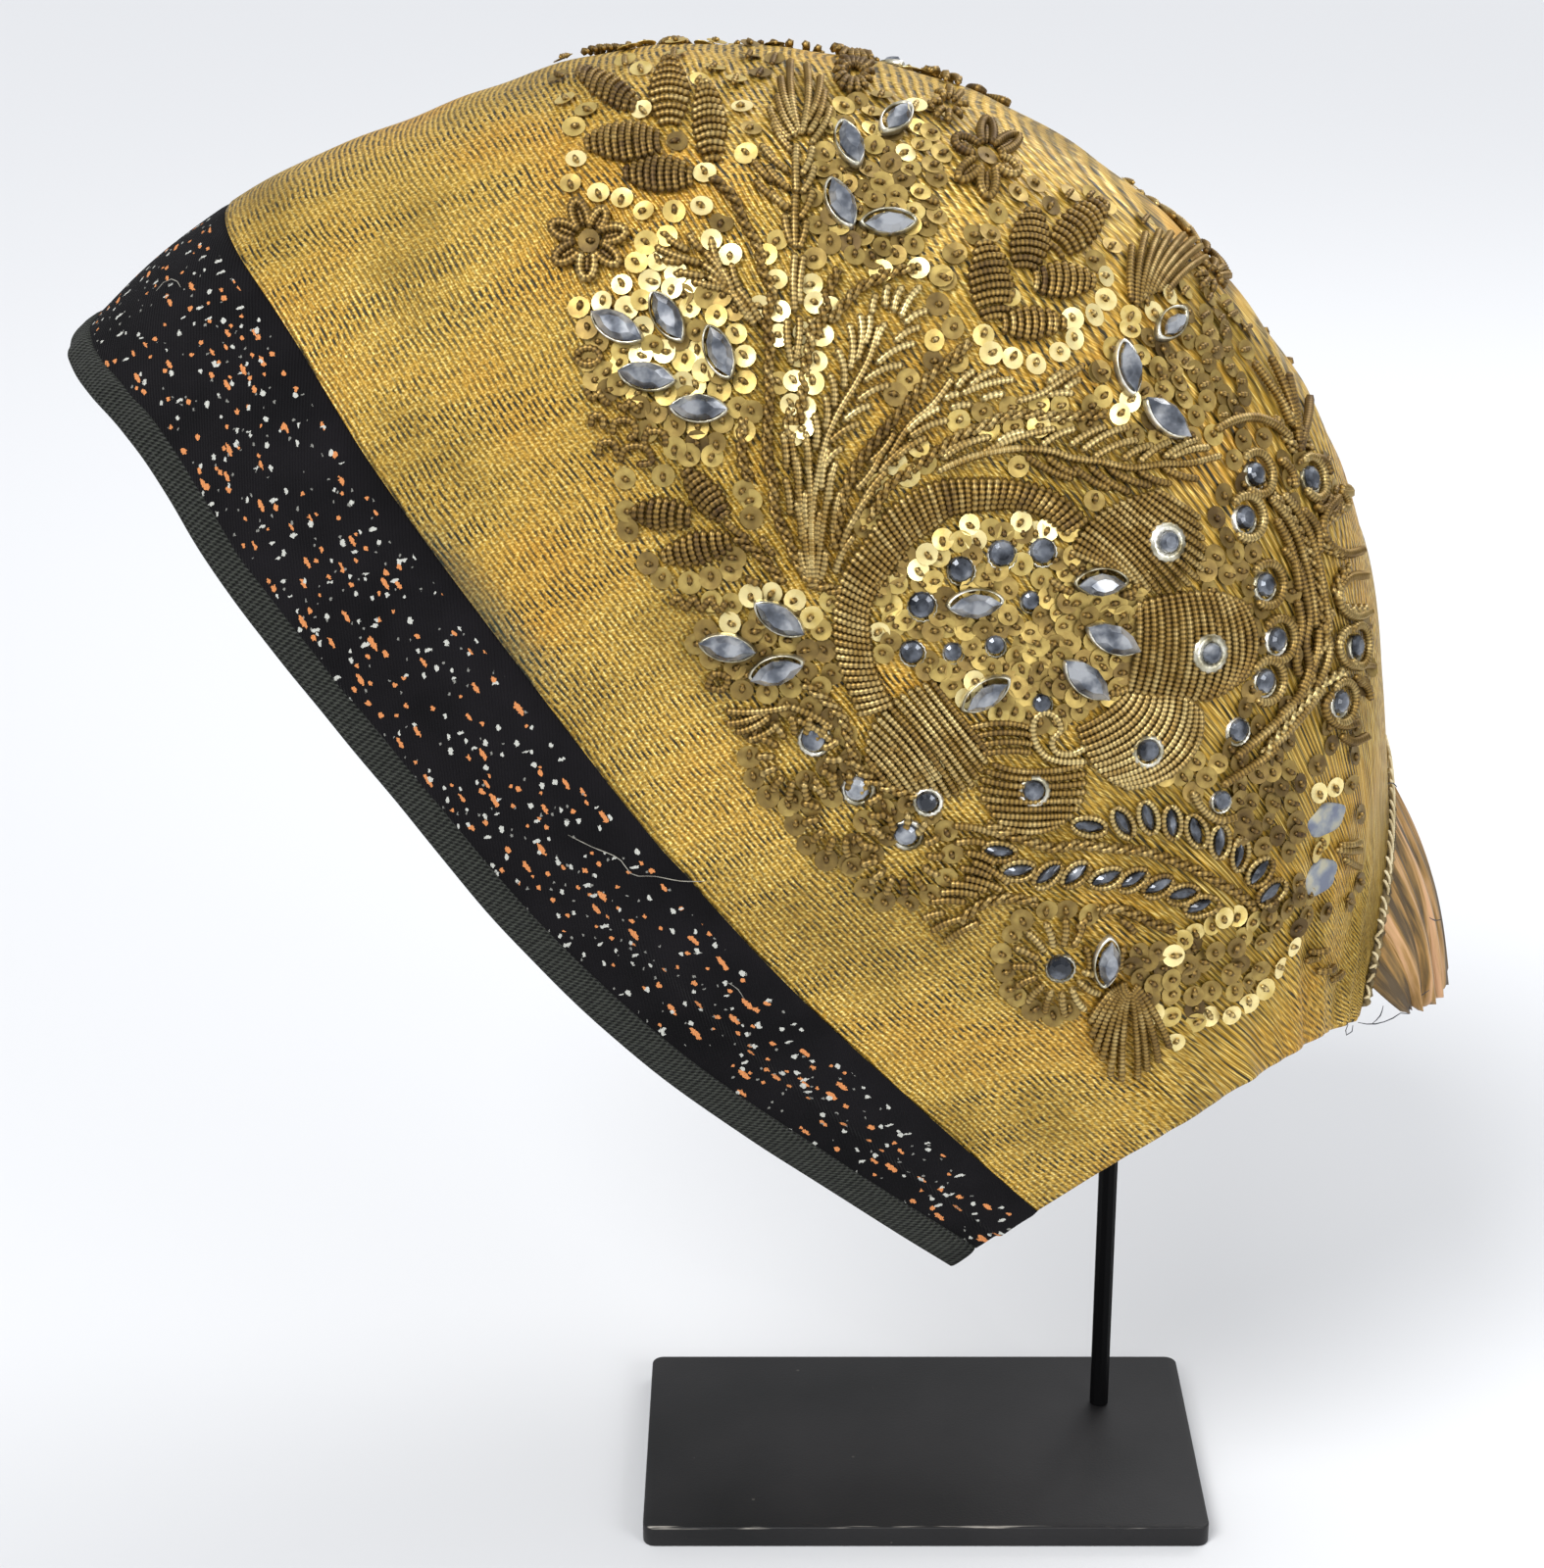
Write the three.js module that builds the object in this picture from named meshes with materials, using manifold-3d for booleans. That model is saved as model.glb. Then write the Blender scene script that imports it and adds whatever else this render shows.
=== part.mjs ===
// Beaded coif on its plain display stand.
// A stiff gold cloth crown with a broad dark face band, a bound face edge, a pleated nape gather,
// raised embroidery set with glass stones on both sides, and a flat plate with one bent rod.
// Millimetres, +Z up, face opening towards -X, origin under the middle of the whole object.
import * as THREE from "three";
import Module from "manifold-3d";
import { mergeVertices } from "three/addons/utils/BufferGeometryUtils.js";

const wasm = await Module();
wasm.setup();

// Driving sizes of the coif
const FACE_HEIGHT = 236;
const CROWN_DEPTH = 163;
const HALF_WIDTH = 76;
const FACE_BOW = 9;
const COIF_TILT = THREE.MathUtils.degToRad(45);
const SECTION_ROUNDNESS = 2.3;
const CLOTH_WALL = 1.8;
const BINDING_WIDTH = 6.5;
const BINDING_WALL = 3.2;
const BINDING_ROUNDED_SHARE = 1 / 3;
const SEAM_GAP = 0.35;

// Driving sizes of the nape gather
const GATHER_WALL = 1.6;
const GATHER_BULGE = 2.5;
const PLEAT_DEPTH = 0.9;
const PLEAT_COUNT = 12;

// Driving sizes of the embroidery and its stones
const EMBROIDERY_LIFT = 0.4;
const EMBROIDERY_WALL = 0.9;
const STONE_SEAT = 0.3;
const STONE_REACH = 0.75;
const GIRDLE_SHARE = 0.35;
const TABLE_SHARE = 0.58;
const NAVETTE_SHOULDER = 0.52;
const NAVETTE_LENGTH = 9.6;
const NAVETTE_WIDTH = 4.4;
const NAVETTE_HEIGHT = 2.1;
const ROUND_DIAMETER = 5;
const ROUND_HEIGHT = 1.7;
const ROUND_ROOT = 0.9;

// Driving sizes of the stand
const PLATE_LENGTH = 115;
const PLATE_DEPTH = 66;
const PLATE_THICKNESS = 4.6;
const PLATE_CORNER = 2.5;
const ROD_DIAMETER = 4;
const ROD_END_INSET = 18.5;
const ROD_REAR_INSET = 19;
const ROD_FOOT_GAP = 0.3;
const ROD_BEND_HEIGHT = 128;
const ROD_BEND_REACH = 26;
const HEAD_THICKNESS = 4;
const HEAD_SEAT = 0.75;
const HEAD = { station: 0.36, halfStations: 0.055, halfAcross: 0.17 };
const ROD_IN_HEAD_SHARE = 0.7;
const HEM_REACH = 36.2;
const HEM_LIFT = 71.8;

// Divisions of the grids, and the small steps by which directions and equal points are found
const CLOTH_ROWS = 32;
const CROWN_COLUMNS = 20;
const BAND_COLUMNS = 3;
const GATHER_COLUMNS = 4;
const ROWS_PER_PLEAT = 4;
const EMBROIDERY_COLUMNS = 14;
const EMBROIDERY_ROWS = 18;
const CLOTH_STEP = 0.004;
const GATHER_STEP = 0.01;
const WELD = 1e-4;

// Turns rows of numbers into records with the named columns.
const table = (columns, rows) =>
  rows.map((row) => Object.fromEntries(columns.map((name, k) => [name, row[k]])));

// Arch sections of the coif, from the face edge (station 0) to the nape seam (station 1).
// Back is a share of CROWN_DEPTH, up of FACE_HEIGHT, width of HALF_WIDTH and bow of FACE_BOW.
// Tuck is how far the cloth draws in towards its hem.
const SECTIONS = table(
  ["station", "hemBack", "hemUp", "ridgeBack", "ridgeUp", "width", "tuck", "bow"],
  [
    [0.0, 0.0, 0.0, 0.0, 1.0, 0.92, 0.16, 1.0],
    [0.05, 0.066, -0.003, 0.128, 0.996, 0.945, 0.165, 0.75],
    [0.1, 0.128, -0.008, 0.252, 0.984, 0.96, 0.17, 0.5],
    [0.2, 0.244, -0.019, 0.478, 0.924, 0.99, 0.18, 0.2],
    [0.3, 0.321, -0.03, 0.688, 0.848, 1.0, 0.19, 0.0],
    [0.4, 0.382, -0.043, 0.85, 0.733, 0.96, 0.2, 0.0],
    [0.5, 0.436, -0.058, 0.957, 0.598, 0.89, 0.2, 0.0],
    [0.6, 0.473, -0.075, 1.0, 0.436, 0.77, 0.18, 0.0],
    [0.7, 0.494, -0.094, 0.978, 0.272, 0.62, 0.14, 0.0],
    [0.8, 0.506, -0.111, 0.906, 0.146, 0.5, 0.1, 0.0],
    [0.9, 0.513, -0.121, 0.832, 0.071, 0.43, 0.06, 0.0],
    [1.0, 0.518, -0.128, 0.728, -0.02, 0.38, 0.04, 0.0],
  ],
);
const BAND_SEAM = 0.1;
const NAPE_SEAM = 1;

// The face edge bows forward at the cheek and back near the top: share of the rise against offset.
const FACE_BOW_LINE = table(
  ["rise", "offset"],
  [
    [0.0, 0.0],
    [0.15, -0.55],
    [0.3, -1.0],
    [0.45, -0.95],
    [0.6, -0.5],
    [0.8, 0.0],
    [0.93, 0.4],
    [1.0, 0.0],
  ],
);

// Free edge of the nape gather: its two ends beside the hem and its lowest point at the back.
const GATHER_EDGE = { endBack: 0.556, endUp: -0.152, tailBack: 0.606, tailUp: -0.192, width: 0.34 };
const GATHER_SPAN = 0.94;
const GATHER_FAN = 1.6;

// Embroidered field on each side: the stations where it begins and ends at each height.
const FIELD = table(
  ["across", "front", "back"],
  [
    [0.04, 0.272, 0.76],
    [0.2, 0.262, 0.79],
    [0.4, 0.228, 0.81],
    [0.6, 0.184, 0.83],
    [0.76, 0.18, 0.8],
    [0.86, 0.205, 0.74],
    [0.94, 0.28, 0.62],
  ],
);

// Padded motifs that stand up from the field: radius is a share of HALF_WIDTH, rise in millimetres.
const PADDED_MOTIFS = table(
  ["station", "across", "radius", "rise"],
  [
    [0.335, 0.14, 0.2, 1.1],
    [0.235, 0.345, 0.11, 0.9],
    [0.265, 0.45, 0.16, 0.8],
    [0.41, 0.25, 0.16, 0.8],
    [0.49, 0.34, 0.2, 1.1],
    [0.56, 0.41, 0.15, 0.8],
    [0.24, 0.57, 0.15, 1.0],
    [0.225, 0.66, 0.12, 0.8],
    [0.39, 0.68, 0.26, 1.2],
    [0.52, 0.66, 0.2, 1.2],
    [0.4, 0.78, 0.22, 1.2],
    [0.66, 0.52, 0.16, 1.0],
    [0.21, 0.76, 0.14, 0.9],
    [0.46, 0.85, 0.16, 0.9],
    [0.28, 0.92, 0.1, 0.9],
    [0.4, 0.92, 0.1, 0.9],
  ],
);

// Pointed oval stones of one side. Turn is the angle of the long axis from the way down to the
// hem, positive where its lower end swings to the back.
const NAVETTES = table(
  ["station", "across", "turn"],
  [
    [0.398, 0.24, 0],
    [0.428, 0.18, -36],
    [0.383, 0.32, 3],
    [0.404, 0.34, -80],
    [0.272, 0.42, 3],
    [0.246, 0.414, 36],
    [0.288, 0.46, -6],
    [0.247, 0.461, 58],
    [0.263, 0.497, 68],
    [0.569, 0.333, -40],
    [0.529, 0.433, -4],
    [0.549, 0.469, 72],
    [0.241, 0.651, 28],
    [0.204, 0.655, 54],
    [0.221, 0.681, 83],
    [0.362, 0.673, 91],
    [0.462, 0.656, 100],
    [0.458, 0.698, 66],
    [0.424, 0.729, 34],
    [0.34, 0.735, -67],
    [0.327, 0.91, -30],
  ],
);

// Round stones of one side, fused to the embroidery that holds them. Size is a share of
// ROUND_DIAMETER.
const ROUNDS = table(
  ["station", "across", "size"],
  [
    [0.364, 0.647, 1.0],
    [0.397, 0.636, 1.05],
    [0.427, 0.633, 1.0],
    [0.327, 0.669, 1.05],
    [0.305, 0.698, 0.95],
    [0.527, 0.603, 1.2],
    [0.544, 0.692, 1.2],
    [0.457, 0.78, 1.1],
    [0.34, 0.799, 1.1],
    [0.259, 0.786, 1.1],
    [0.216, 0.727, 1.1],
    [0.221, 0.764, 1.1],
    [0.231, 0.8, 1.1],
    [0.622, 0.452, 1.0],
    [0.606, 0.523, 1.0],
    [0.618, 0.585, 1.0],
    [0.624, 0.638, 1.0],
    [0.604, 0.692, 1.0],
    [0.562, 0.752, 0.95],
    [0.685, 0.793, 1.6],
  ],
);

// Finishes
const FINISH = {
  brocade: { color: 0x9c8232, roughness: 0.55, metalness: 0.35 },
  bandCloth: { color: 0x151314, roughness: 0.9, metalness: 0 },
  binding: { color: 0x1c1e1c, roughness: 0.95, metalness: 0 },
  gather: { color: 0x9a7648, roughness: 0.8, metalness: 0.1 },
  purl: { color: 0x7c6434, roughness: 0.45, metalness: 0.6 },
  stone: { color: 0x8f9aa8, roughness: 0.12, metalness: 0.1 },
  steel: { color: 0x121214, roughness: 0.5, metalness: 0.2 },
};

// Cubic curve through the rows of a table, at key x; returns one value for each column.
function curveThrough(rows, key, x) {
  const columns = Object.keys(rows[0]).filter((name) => name !== key);
  const last = rows.length - 1;
  let i = 0;
  while (i < last - 1 && x > rows[i + 1][key]) i += 1;
  const slope = (k, name) => {
    const a = rows[Math.max(k - 1, 0)];
    const b = rows[Math.min(k + 1, last)];
    if (k === 0 || k === last) return (b[name] - a[name]) / (b[key] - a[key]);
    const c = rows[k];
    const left = (c[name] - a[name]) / (c[key] - a[key]);
    const right = (b[name] - c[name]) / (b[key] - c[key]);
    return (left * (b[key] - c[key]) + right * (c[key] - a[key])) / (b[key] - a[key]);
  };
  const span = rows[i + 1][key] - rows[i][key];
  const u = (x - rows[i][key]) / span;
  const value = {};
  for (const name of columns) {
    const from = rows[i][name];
    const to = rows[i + 1][name];
    value[name] =
      (2 * u ** 3 - 3 * u ** 2 + 1) * from +
      (u ** 3 - 2 * u ** 2 + u) * span * slope(i, name) +
      (3 * u ** 2 - 2 * u ** 3) * to +
      (u ** 3 - u ** 2) * span * slope(i + 1, name);
  }
  return value;
}

// Point of the outer cloth face. Across runs from -1 at the near hem over 0 at the ridge to 1.
// Each section is half a superellipse that rises from hem to ridge and draws in at its hem.
function clothFace(station, across) {
  const row = curveThrough(SECTIONS, "station", station);
  const turn = ((1 - Math.abs(across)) * Math.PI) / 2;
  const rise = Math.sin(turn) ** (2 / SECTION_ROUNDNESS);
  const reach = Math.max(Math.cos(turn), 0) ** (2 / SECTION_ROUNDNESS);
  const side = reach * (1 - row.tuck * (1 - rise) ** 2);
  const bow = FACE_BOW * row.bow * curveThrough(FACE_BOW_LINE, "rise", rise).offset;
  return new THREE.Vector3(
    CROWN_DEPTH * (row.hemBack + (row.ridgeBack - row.hemBack) * rise) + bow,
    Math.sign(across) * HALF_WIDTH * row.width * side,
    FACE_HEIGHT * (row.hemUp + (row.ridgeUp - row.hemUp) * rise),
  );
}

// Directions of the cloth at a point: back along the stations, down to the hem, and out.
function clothFrame(station, across) {
  const step = CLOTH_STEP;
  const before = clothFace(Math.max(station - step, 0), across);
  const after = clothFace(Math.min(station + step, 1), across);
  const left = clothFace(station, Math.max(across - step, -1));
  const right = clothFace(station, Math.min(across + step, 1));
  const back = after.clone().sub(before);
  const stride = Math.min(station + step, 1) - Math.max(station - step, 0);
  const speed = back.length() / stride;
  back.normalize();
  const sideways = right.sub(left).normalize();
  const out = back.clone().cross(sideways).normalize();
  return { back, sideways, out, speed };
}

// Point of the cloth moved out by a height above its outer face, or in where it is negative.
function overCloth(station, across, height) {
  const { out } = clothFrame(station, across);
  return clothFace(station, across).addScaledVector(out, height);
}

// Closed body from an outer and an inner grid of points joined round their four edges.
function sheetBody(columns, rows, outer, inner) {
  const positions = [];
  for (const face of [outer, inner]) {
    for (let i = 0; i <= columns; i += 1) {
      for (let j = 0; j <= rows; j += 1) positions.push(...face(i / columns, j / rows).toArray());
    }
  }
  const across = rows + 1;
  const layer = (columns + 1) * across;
  const at = (i, j, inside = 0) => inside * layer + i * across + j;
  const faces = [];
  const quad = (a, b, c, d) => faces.push(a, b, c, a, c, d);
  for (let i = 0; i < columns; i += 1) {
    for (let j = 0; j < rows; j += 1) {
      quad(at(i, j), at(i + 1, j), at(i + 1, j + 1), at(i, j + 1));
      quad(at(i, j + 1, 1), at(i + 1, j + 1, 1), at(i + 1, j, 1), at(i, j, 1));
    }
    quad(at(i + 1, 0), at(i, 0), at(i, 0, 1), at(i + 1, 0, 1));
    quad(at(i, rows), at(i + 1, rows), at(i + 1, rows, 1), at(i, rows, 1));
  }
  for (let j = 0; j < rows; j += 1) {
    quad(at(0, j), at(0, j + 1), at(0, j + 1, 1), at(0, j, 1));
    quad(at(columns, j + 1), at(columns, j), at(columns, j, 1), at(columns, j + 1, 1));
  }
  return bodyFrom(positions, faces);
}

// Closed body from a list of rings with the same number of points, closed by flat ends.
function ringBody(rings) {
  const count = rings[0].length;
  const faces = [];
  rings.slice(1).forEach((ring, k) => {
    for (let i = 0; i < count; i += 1) {
      const a = k * count + i;
      const b = k * count + ((i + 1) % count);
      faces.push(a, b, b + count, a, b + count, a + count);
    }
  });
  const end = (rings.length - 1) * count;
  for (let i = 1; i < count - 1; i += 1) {
    faces.push(0, i + 1, i);
    faces.push(end, end + i, end + i + 1);
  }
  return bodyFrom(rings.flat().flatMap((point) => point.toArray()), faces);
}

function bodyFrom(positions, faces) {
  const geometry = new THREE.BufferGeometry();
  geometry.setAttribute("position", new THREE.Float32BufferAttribute(positions, 3));
  geometry.setIndex(faces);
  geometry.computeVertexNormals();
  return geometry;
}

// Joins closed geometries into one solid.
function fused(geometries) {
  const solids = geometries.map((geometry) => {
    const bare = geometry.clone();
    bare.deleteAttribute("normal");
    bare.deleteAttribute("uv");
    const merged = mergeVertices(bare, WELD);
    return new wasm.Manifold(
      new wasm.Mesh({
        numProp: 3,
        vertProperties: Float32Array.from(merged.attributes.position.array),
        triVerts: Uint32Array.from(merged.index.array),
      }),
    );
  });
  const whole = solids.reduce((sum, solid) => sum.add(solid));
  const mesh = whole.getMesh();
  return bodyFrom(mesh.vertProperties, Array.from(mesh.triVerts));
}

function piece(name, geometry, finish) {
  const mesh = new THREE.Mesh(geometry, new THREE.MeshStandardMaterial(finish));
  mesh.name = name;
  return mesh;
}

// Station that lies a given length behind another one, at one place across the cloth.
function stationAfter(station, across, length) {
  return station + length / clothFrame(station, across).speed;
}

// A strip of cloth between two lengths measured from two stations.
function clothStrip(columns, rows, start, end, wall) {
  const place = (u, v) => {
    const across = 2 * v - 1;
    const from = stationAfter(start.station, across, start.offset);
    const to = stationAfter(end.station, across, end.offset);
    return [from + (to - from) * u, across];
  };
  const outer = (u, v) => clothFace(...place(u, v));
  const inner = (u, v) => overCloth(...place(u, v), -wall);
  return sheetBody(columns, rows, outer, inner);
}

function makeCrown() {
  const start = { station: BAND_SEAM, offset: SEAM_GAP / 2 };
  const end = { station: NAPE_SEAM, offset: 0 };
  const geometry = clothStrip(CROWN_COLUMNS, CLOTH_ROWS, start, end, CLOTH_WALL);
  return piece("crown", geometry, FINISH.brocade);
}

function makeFaceBand() {
  const start = { station: 0, offset: BINDING_WIDTH + SEAM_GAP };
  const end = { station: BAND_SEAM, offset: -SEAM_GAP / 2 };
  const geometry = clothStrip(BAND_COLUMNS, CLOTH_ROWS, start, end, CLOTH_WALL);
  return piece("face_band", geometry, FINISH.bandCloth);
}

// The binding is a flattened roll round the face edge, proud of the band on both faces.
function makeEdgeBinding() {
  const proud = (BINDING_WALL - CLOTH_WALL) / 2;
  const round = BINDING_WALL * BINDING_ROUNDED_SHARE;
  const outline = [
    [0, proud - round],
    [round, proud],
    [BINDING_WIDTH - round, proud],
    [BINDING_WIDTH, 0],
    [BINDING_WIDTH, -CLOTH_WALL],
    [BINDING_WIDTH - round, -CLOTH_WALL - proud],
    [round, -CLOTH_WALL - proud],
    [0, round - CLOTH_WALL - proud],
  ];
  const rings = Array.from({ length: CLOTH_ROWS + 1 }, (_, k) => {
    const across = (2 * k) / CLOTH_ROWS - 1;
    return outline.map(([along, height]) =>
      overCloth(stationAfter(0, across, along), across, height),
    );
  });
  return piece("edge_binding", ringBody(rings), FINISH.binding);
}

// The gather hangs from the nape seam. Its pleats fan from the top of the seam to a free edge
// that runs round the back as half an ellipse.
function makeNapeGather() {
  const face = (s, fan) => {
    const seamAcross = Math.sign(fan) * Math.abs(fan) ** GATHER_FAN;
    const seam = clothFace(NAPE_SEAM, seamAcross);
    const swing = Math.cos((fan * Math.PI) / 2);
    const edge = new THREE.Vector3(
      CROWN_DEPTH * (GATHER_EDGE.endBack + (GATHER_EDGE.tailBack - GATHER_EDGE.endBack) * swing),
      HALF_WIDTH * GATHER_EDGE.width * Math.sin((fan * Math.PI) / 2),
      FACE_HEIGHT * (GATHER_EDGE.endUp + (GATHER_EDGE.tailUp - GATHER_EDGE.endUp) * swing),
    );
    return seam.lerp(edge, s);
  };
  const start = (fan) => (2 * SEAM_GAP) / face(0, fan).distanceTo(face(1, fan));
  const body = (inset) => (u, v) => {
    const fan = GATHER_SPAN * (2 * v - 1);
    const s = start(fan) + (1 - start(fan)) * u;
    const down = face(s + GATHER_STEP, fan).sub(face(s - GATHER_STEP, fan));
    const sideways = face(s, fan + GATHER_STEP).sub(face(s, fan - GATHER_STEP));
    const out = down.cross(sideways).normalize();
    const pleat = PLEAT_DEPTH * u * Math.cos(2 * Math.PI * PLEAT_COUNT * v);
    const height = GATHER_BULGE * Math.sin(Math.PI * u) + pleat - inset;
    return face(s, fan).addScaledVector(out, height);
  };
  const rows = PLEAT_COUNT * ROWS_PER_PLEAT;
  const geometry = sheetBody(GATHER_COLUMNS, rows, body(0), body(GATHER_WALL));
  return piece("nape_gather", geometry, FINISH.gather);
}

// Height of the embroidery's face over the cloth: a thin ground with smooth padded motifs.
function embroideryHeight(station, across) {
  const here = clothFace(station, Math.abs(across));
  const pads = PADDED_MOTIFS.map((motif) => {
    const middle = clothFace(motif.station, motif.across);
    const share = here.distanceTo(middle) / (motif.radius * HALF_WIDTH);
    return motif.rise * Math.max(1 - share ** 2, 0) ** 2;
  });
  return EMBROIDERY_LIFT + EMBROIDERY_WALL + Math.max(...pads);
}

// Frame for a stone on the embroidery: x along the stone, z out of the cloth.
// The seat clears the highest embroidery under the stone.
function stoneSeat(station, across, turn, radius, side, sink) {
  const { back, sideways, out, speed } = clothFrame(station, across * side);
  const down = sideways.clone().multiplyScalar(side);
  const angle = THREE.MathUtils.degToRad(turn);
  const long = down.clone().multiplyScalar(Math.cos(angle)).addScaledVector(back, Math.sin(angle));
  const wide = out.clone().cross(long);
  const middle = clothFace(station, across * side);
  const reach = (STONE_REACH * radius) / speed;
  let top = 0;
  for (const s of [-1, 0, 1]) {
    for (const a of [-1, 0, 1]) {
      const place = [station + s * reach, (across + a * reach) * side];
      const height = embroideryHeight(...place);
      top = Math.max(top, overCloth(...place, height).sub(middle).dot(out));
    }
  }
  const seat = middle.addScaledVector(out, sink ? embroideryHeight(station, across) : top);
  return new THREE.Matrix4().makeBasis(long, wide, out).setPosition(seat);
}

// A cut stone: flat back, upright girdle, one facet for each side of its outline, and a table.
function cutStone(outline, height, root) {
  const ring = (share, level) =>
    outline.map(([x, y]) => new THREE.Vector3(x * share, y * share, level));
  return ringBody([ring(1, -root), ring(1, height * GIRDLE_SHARE), ring(TABLE_SHARE, height)]);
}

function navetteOutline() {
  const long = NAVETTE_LENGTH / 2;
  const wide = NAVETTE_WIDTH / 2;
  const share = NAVETTE_SHOULDER;
  const bulge = 1 - share ** 2;
  return [
    [long, 0],
    [long * share, wide * bulge],
    [0, wide],
    [-long * share, wide * bulge],
    [-long, 0],
    [-long * share, -wide * bulge],
    [0, -wide],
    [long * share, -wide * bulge],
  ];
}

function roundOutline(diameter) {
  const sides = 8;
  return Array.from({ length: sides }, (_, k) => {
    const turn = (2 * Math.PI * k) / sides;
    return [(Math.cos(turn) * diameter) / 2, (Math.sin(turn) * diameter) / 2];
  });
}

function makeNavettes(side, label) {
  return NAVETTES.map((stone, k) => {
    const geometry = cutStone(navetteOutline(), NAVETTE_HEIGHT, 0);
    const mesh = piece(`navette_${label}_${k + 1}`, geometry, FINISH.stone);
    const radius = NAVETTE_LENGTH / 2;
    const seat = stoneSeat(stone.station, stone.across, stone.turn, radius, side, false);
    const lift = new THREE.Matrix4().makeTranslation(0, 0, STONE_SEAT);
    mesh.applyMatrix4(seat.multiply(lift));
    return mesh;
  });
}

// The embroidered field of one side with its round stones.
function makeEmbroidery(side, label) {
  const first = FIELD[0].across;
  const last = FIELD[FIELD.length - 1].across;
  const place = (u, v) => {
    const across = first + (last - first) * (side > 0 ? v : 1 - v);
    const { front, back } = curveThrough(FIELD, "across", across);
    return [front + (back - front) * u, across * side];
  };
  const outer = (u, v) => overCloth(...place(u, v), embroideryHeight(...place(u, v)));
  const inner = (u, v) => overCloth(...place(u, v), EMBROIDERY_LIFT);
  const ground = sheetBody(EMBROIDERY_COLUMNS, EMBROIDERY_ROWS, outer, inner);
  const stones = ROUNDS.map((stone) => {
    const outline = roundOutline(ROUND_DIAMETER * stone.size);
    const gem = cutStone(outline, ROUND_HEIGHT, ROUND_ROOT);
    const radius = (ROUND_DIAMETER * stone.size) / 2;
    return gem.applyMatrix4(stoneSeat(stone.station, stone.across, 0, radius, side, true));
  });
  return piece(`embroidery_${label}`, fused([ground, ...stones]), FINISH.purl);
}

// Base plate with its long side along X and rounded upright corners, placed round the rod's foot.
function makeBase() {
  const right = ROD_END_INSET;
  const left = right - PLATE_LENGTH;
  const rear = ROD_REAR_INSET;
  const near = rear - PLATE_DEPTH;
  const r = PLATE_CORNER;
  const outline = new THREE.Shape();
  outline.absarc(right - r, near + r, r, -Math.PI / 2, 0);
  outline.absarc(right - r, rear - r, r, 0, Math.PI / 2);
  outline.absarc(left + r, rear - r, r, Math.PI / 2, Math.PI);
  outline.absarc(left + r, near + r, r, Math.PI, 1.5 * Math.PI);
  const plate = { depth: PLATE_THICKNESS, bevelEnabled: false, curveSegments: 3 };
  return piece("stand_base", new THREE.ExtrudeGeometry(outline, plate), FINISH.steel);
}

// Rod that rises upright, bends towards the face and carries a curved pad under the ridge.
function makePost(coifMatrix) {
  const pad = (depth) => (u, v) =>
    overCloth(
      HEAD.station + HEAD.halfStations * (2 * u - 1),
      HEAD.halfAcross * (2 * v - 1),
      -CLOTH_WALL - HEAD_SEAT - depth,
    );
  const head = sheetBody(5, 8, pad(0), pad(HEAD_THICKNESS)).applyMatrix4(coifMatrix);
  const inPad = -CLOTH_WALL - HEAD_SEAT - HEAD_THICKNESS * ROD_IN_HEAD_SHARE;
  const top = overCloth(HEAD.station, 0, inPad).applyMatrix4(coifMatrix);
  const bend = new THREE.Vector3(0, 0, ROD_BEND_HEIGHT);
  const below = bend.clone().setZ(ROD_BEND_HEIGHT - ROD_BEND_REACH);
  const above = bend.clone().addScaledVector(top.clone().sub(bend).normalize(), ROD_BEND_REACH);
  const foot = new THREE.Vector3(0, 0, PLATE_THICKNESS + ROD_FOOT_GAP);
  const path = new THREE.CurvePath();
  path.add(new THREE.LineCurve3(foot, below));
  path.add(new THREE.QuadraticBezierCurve3(below, bend, above));
  path.add(new THREE.LineCurve3(above, top));
  const section = new THREE.Shape().absarc(0, 0, ROD_DIAMETER / 2, 0, 2 * Math.PI);
  const sweep = { steps: 20, curveSegments: 5, extrudePath: path };
  const rod = new THREE.ExtrudeGeometry(section, sweep);
  return piece("stand_post", fused([rod, head]), FINISH.steel);
}

const coif = new THREE.Group();
coif.rotation.y = -COIF_TILT;
coif.position.set(-HEM_REACH, 0, HEM_LIFT);
coif.updateMatrixWorld();
coif.add(makeCrown(), makeFaceBand(), makeEdgeBinding(), makeNapeGather());
for (const [side, label] of [
  [-1, "near"],
  [1, "far"],
]) {
  coif.add(makeEmbroidery(side, label), ...makeNavettes(side, label));
}

const object = new THREE.Group();
object.add(coif, makeBase(), makePost(coif.matrixWorld));
object.updateMatrixWorld(true);
const middle = new THREE.Box3().setFromObject(object, true).getCenter(new THREE.Vector3());
object.position.set(-middle.x, -middle.y, 0);

export default object;
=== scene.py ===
"""Beaded coif on its stand: cloth, metal embroidery, stones and stand dressed over the solids.

Lengths in the tables are millimetres. Tables that say picture hold places in the photograph's frame of
1575 by 1600 pixels, and are laid on the cloth by the camera that the stage sets up.
"""

import math

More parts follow.
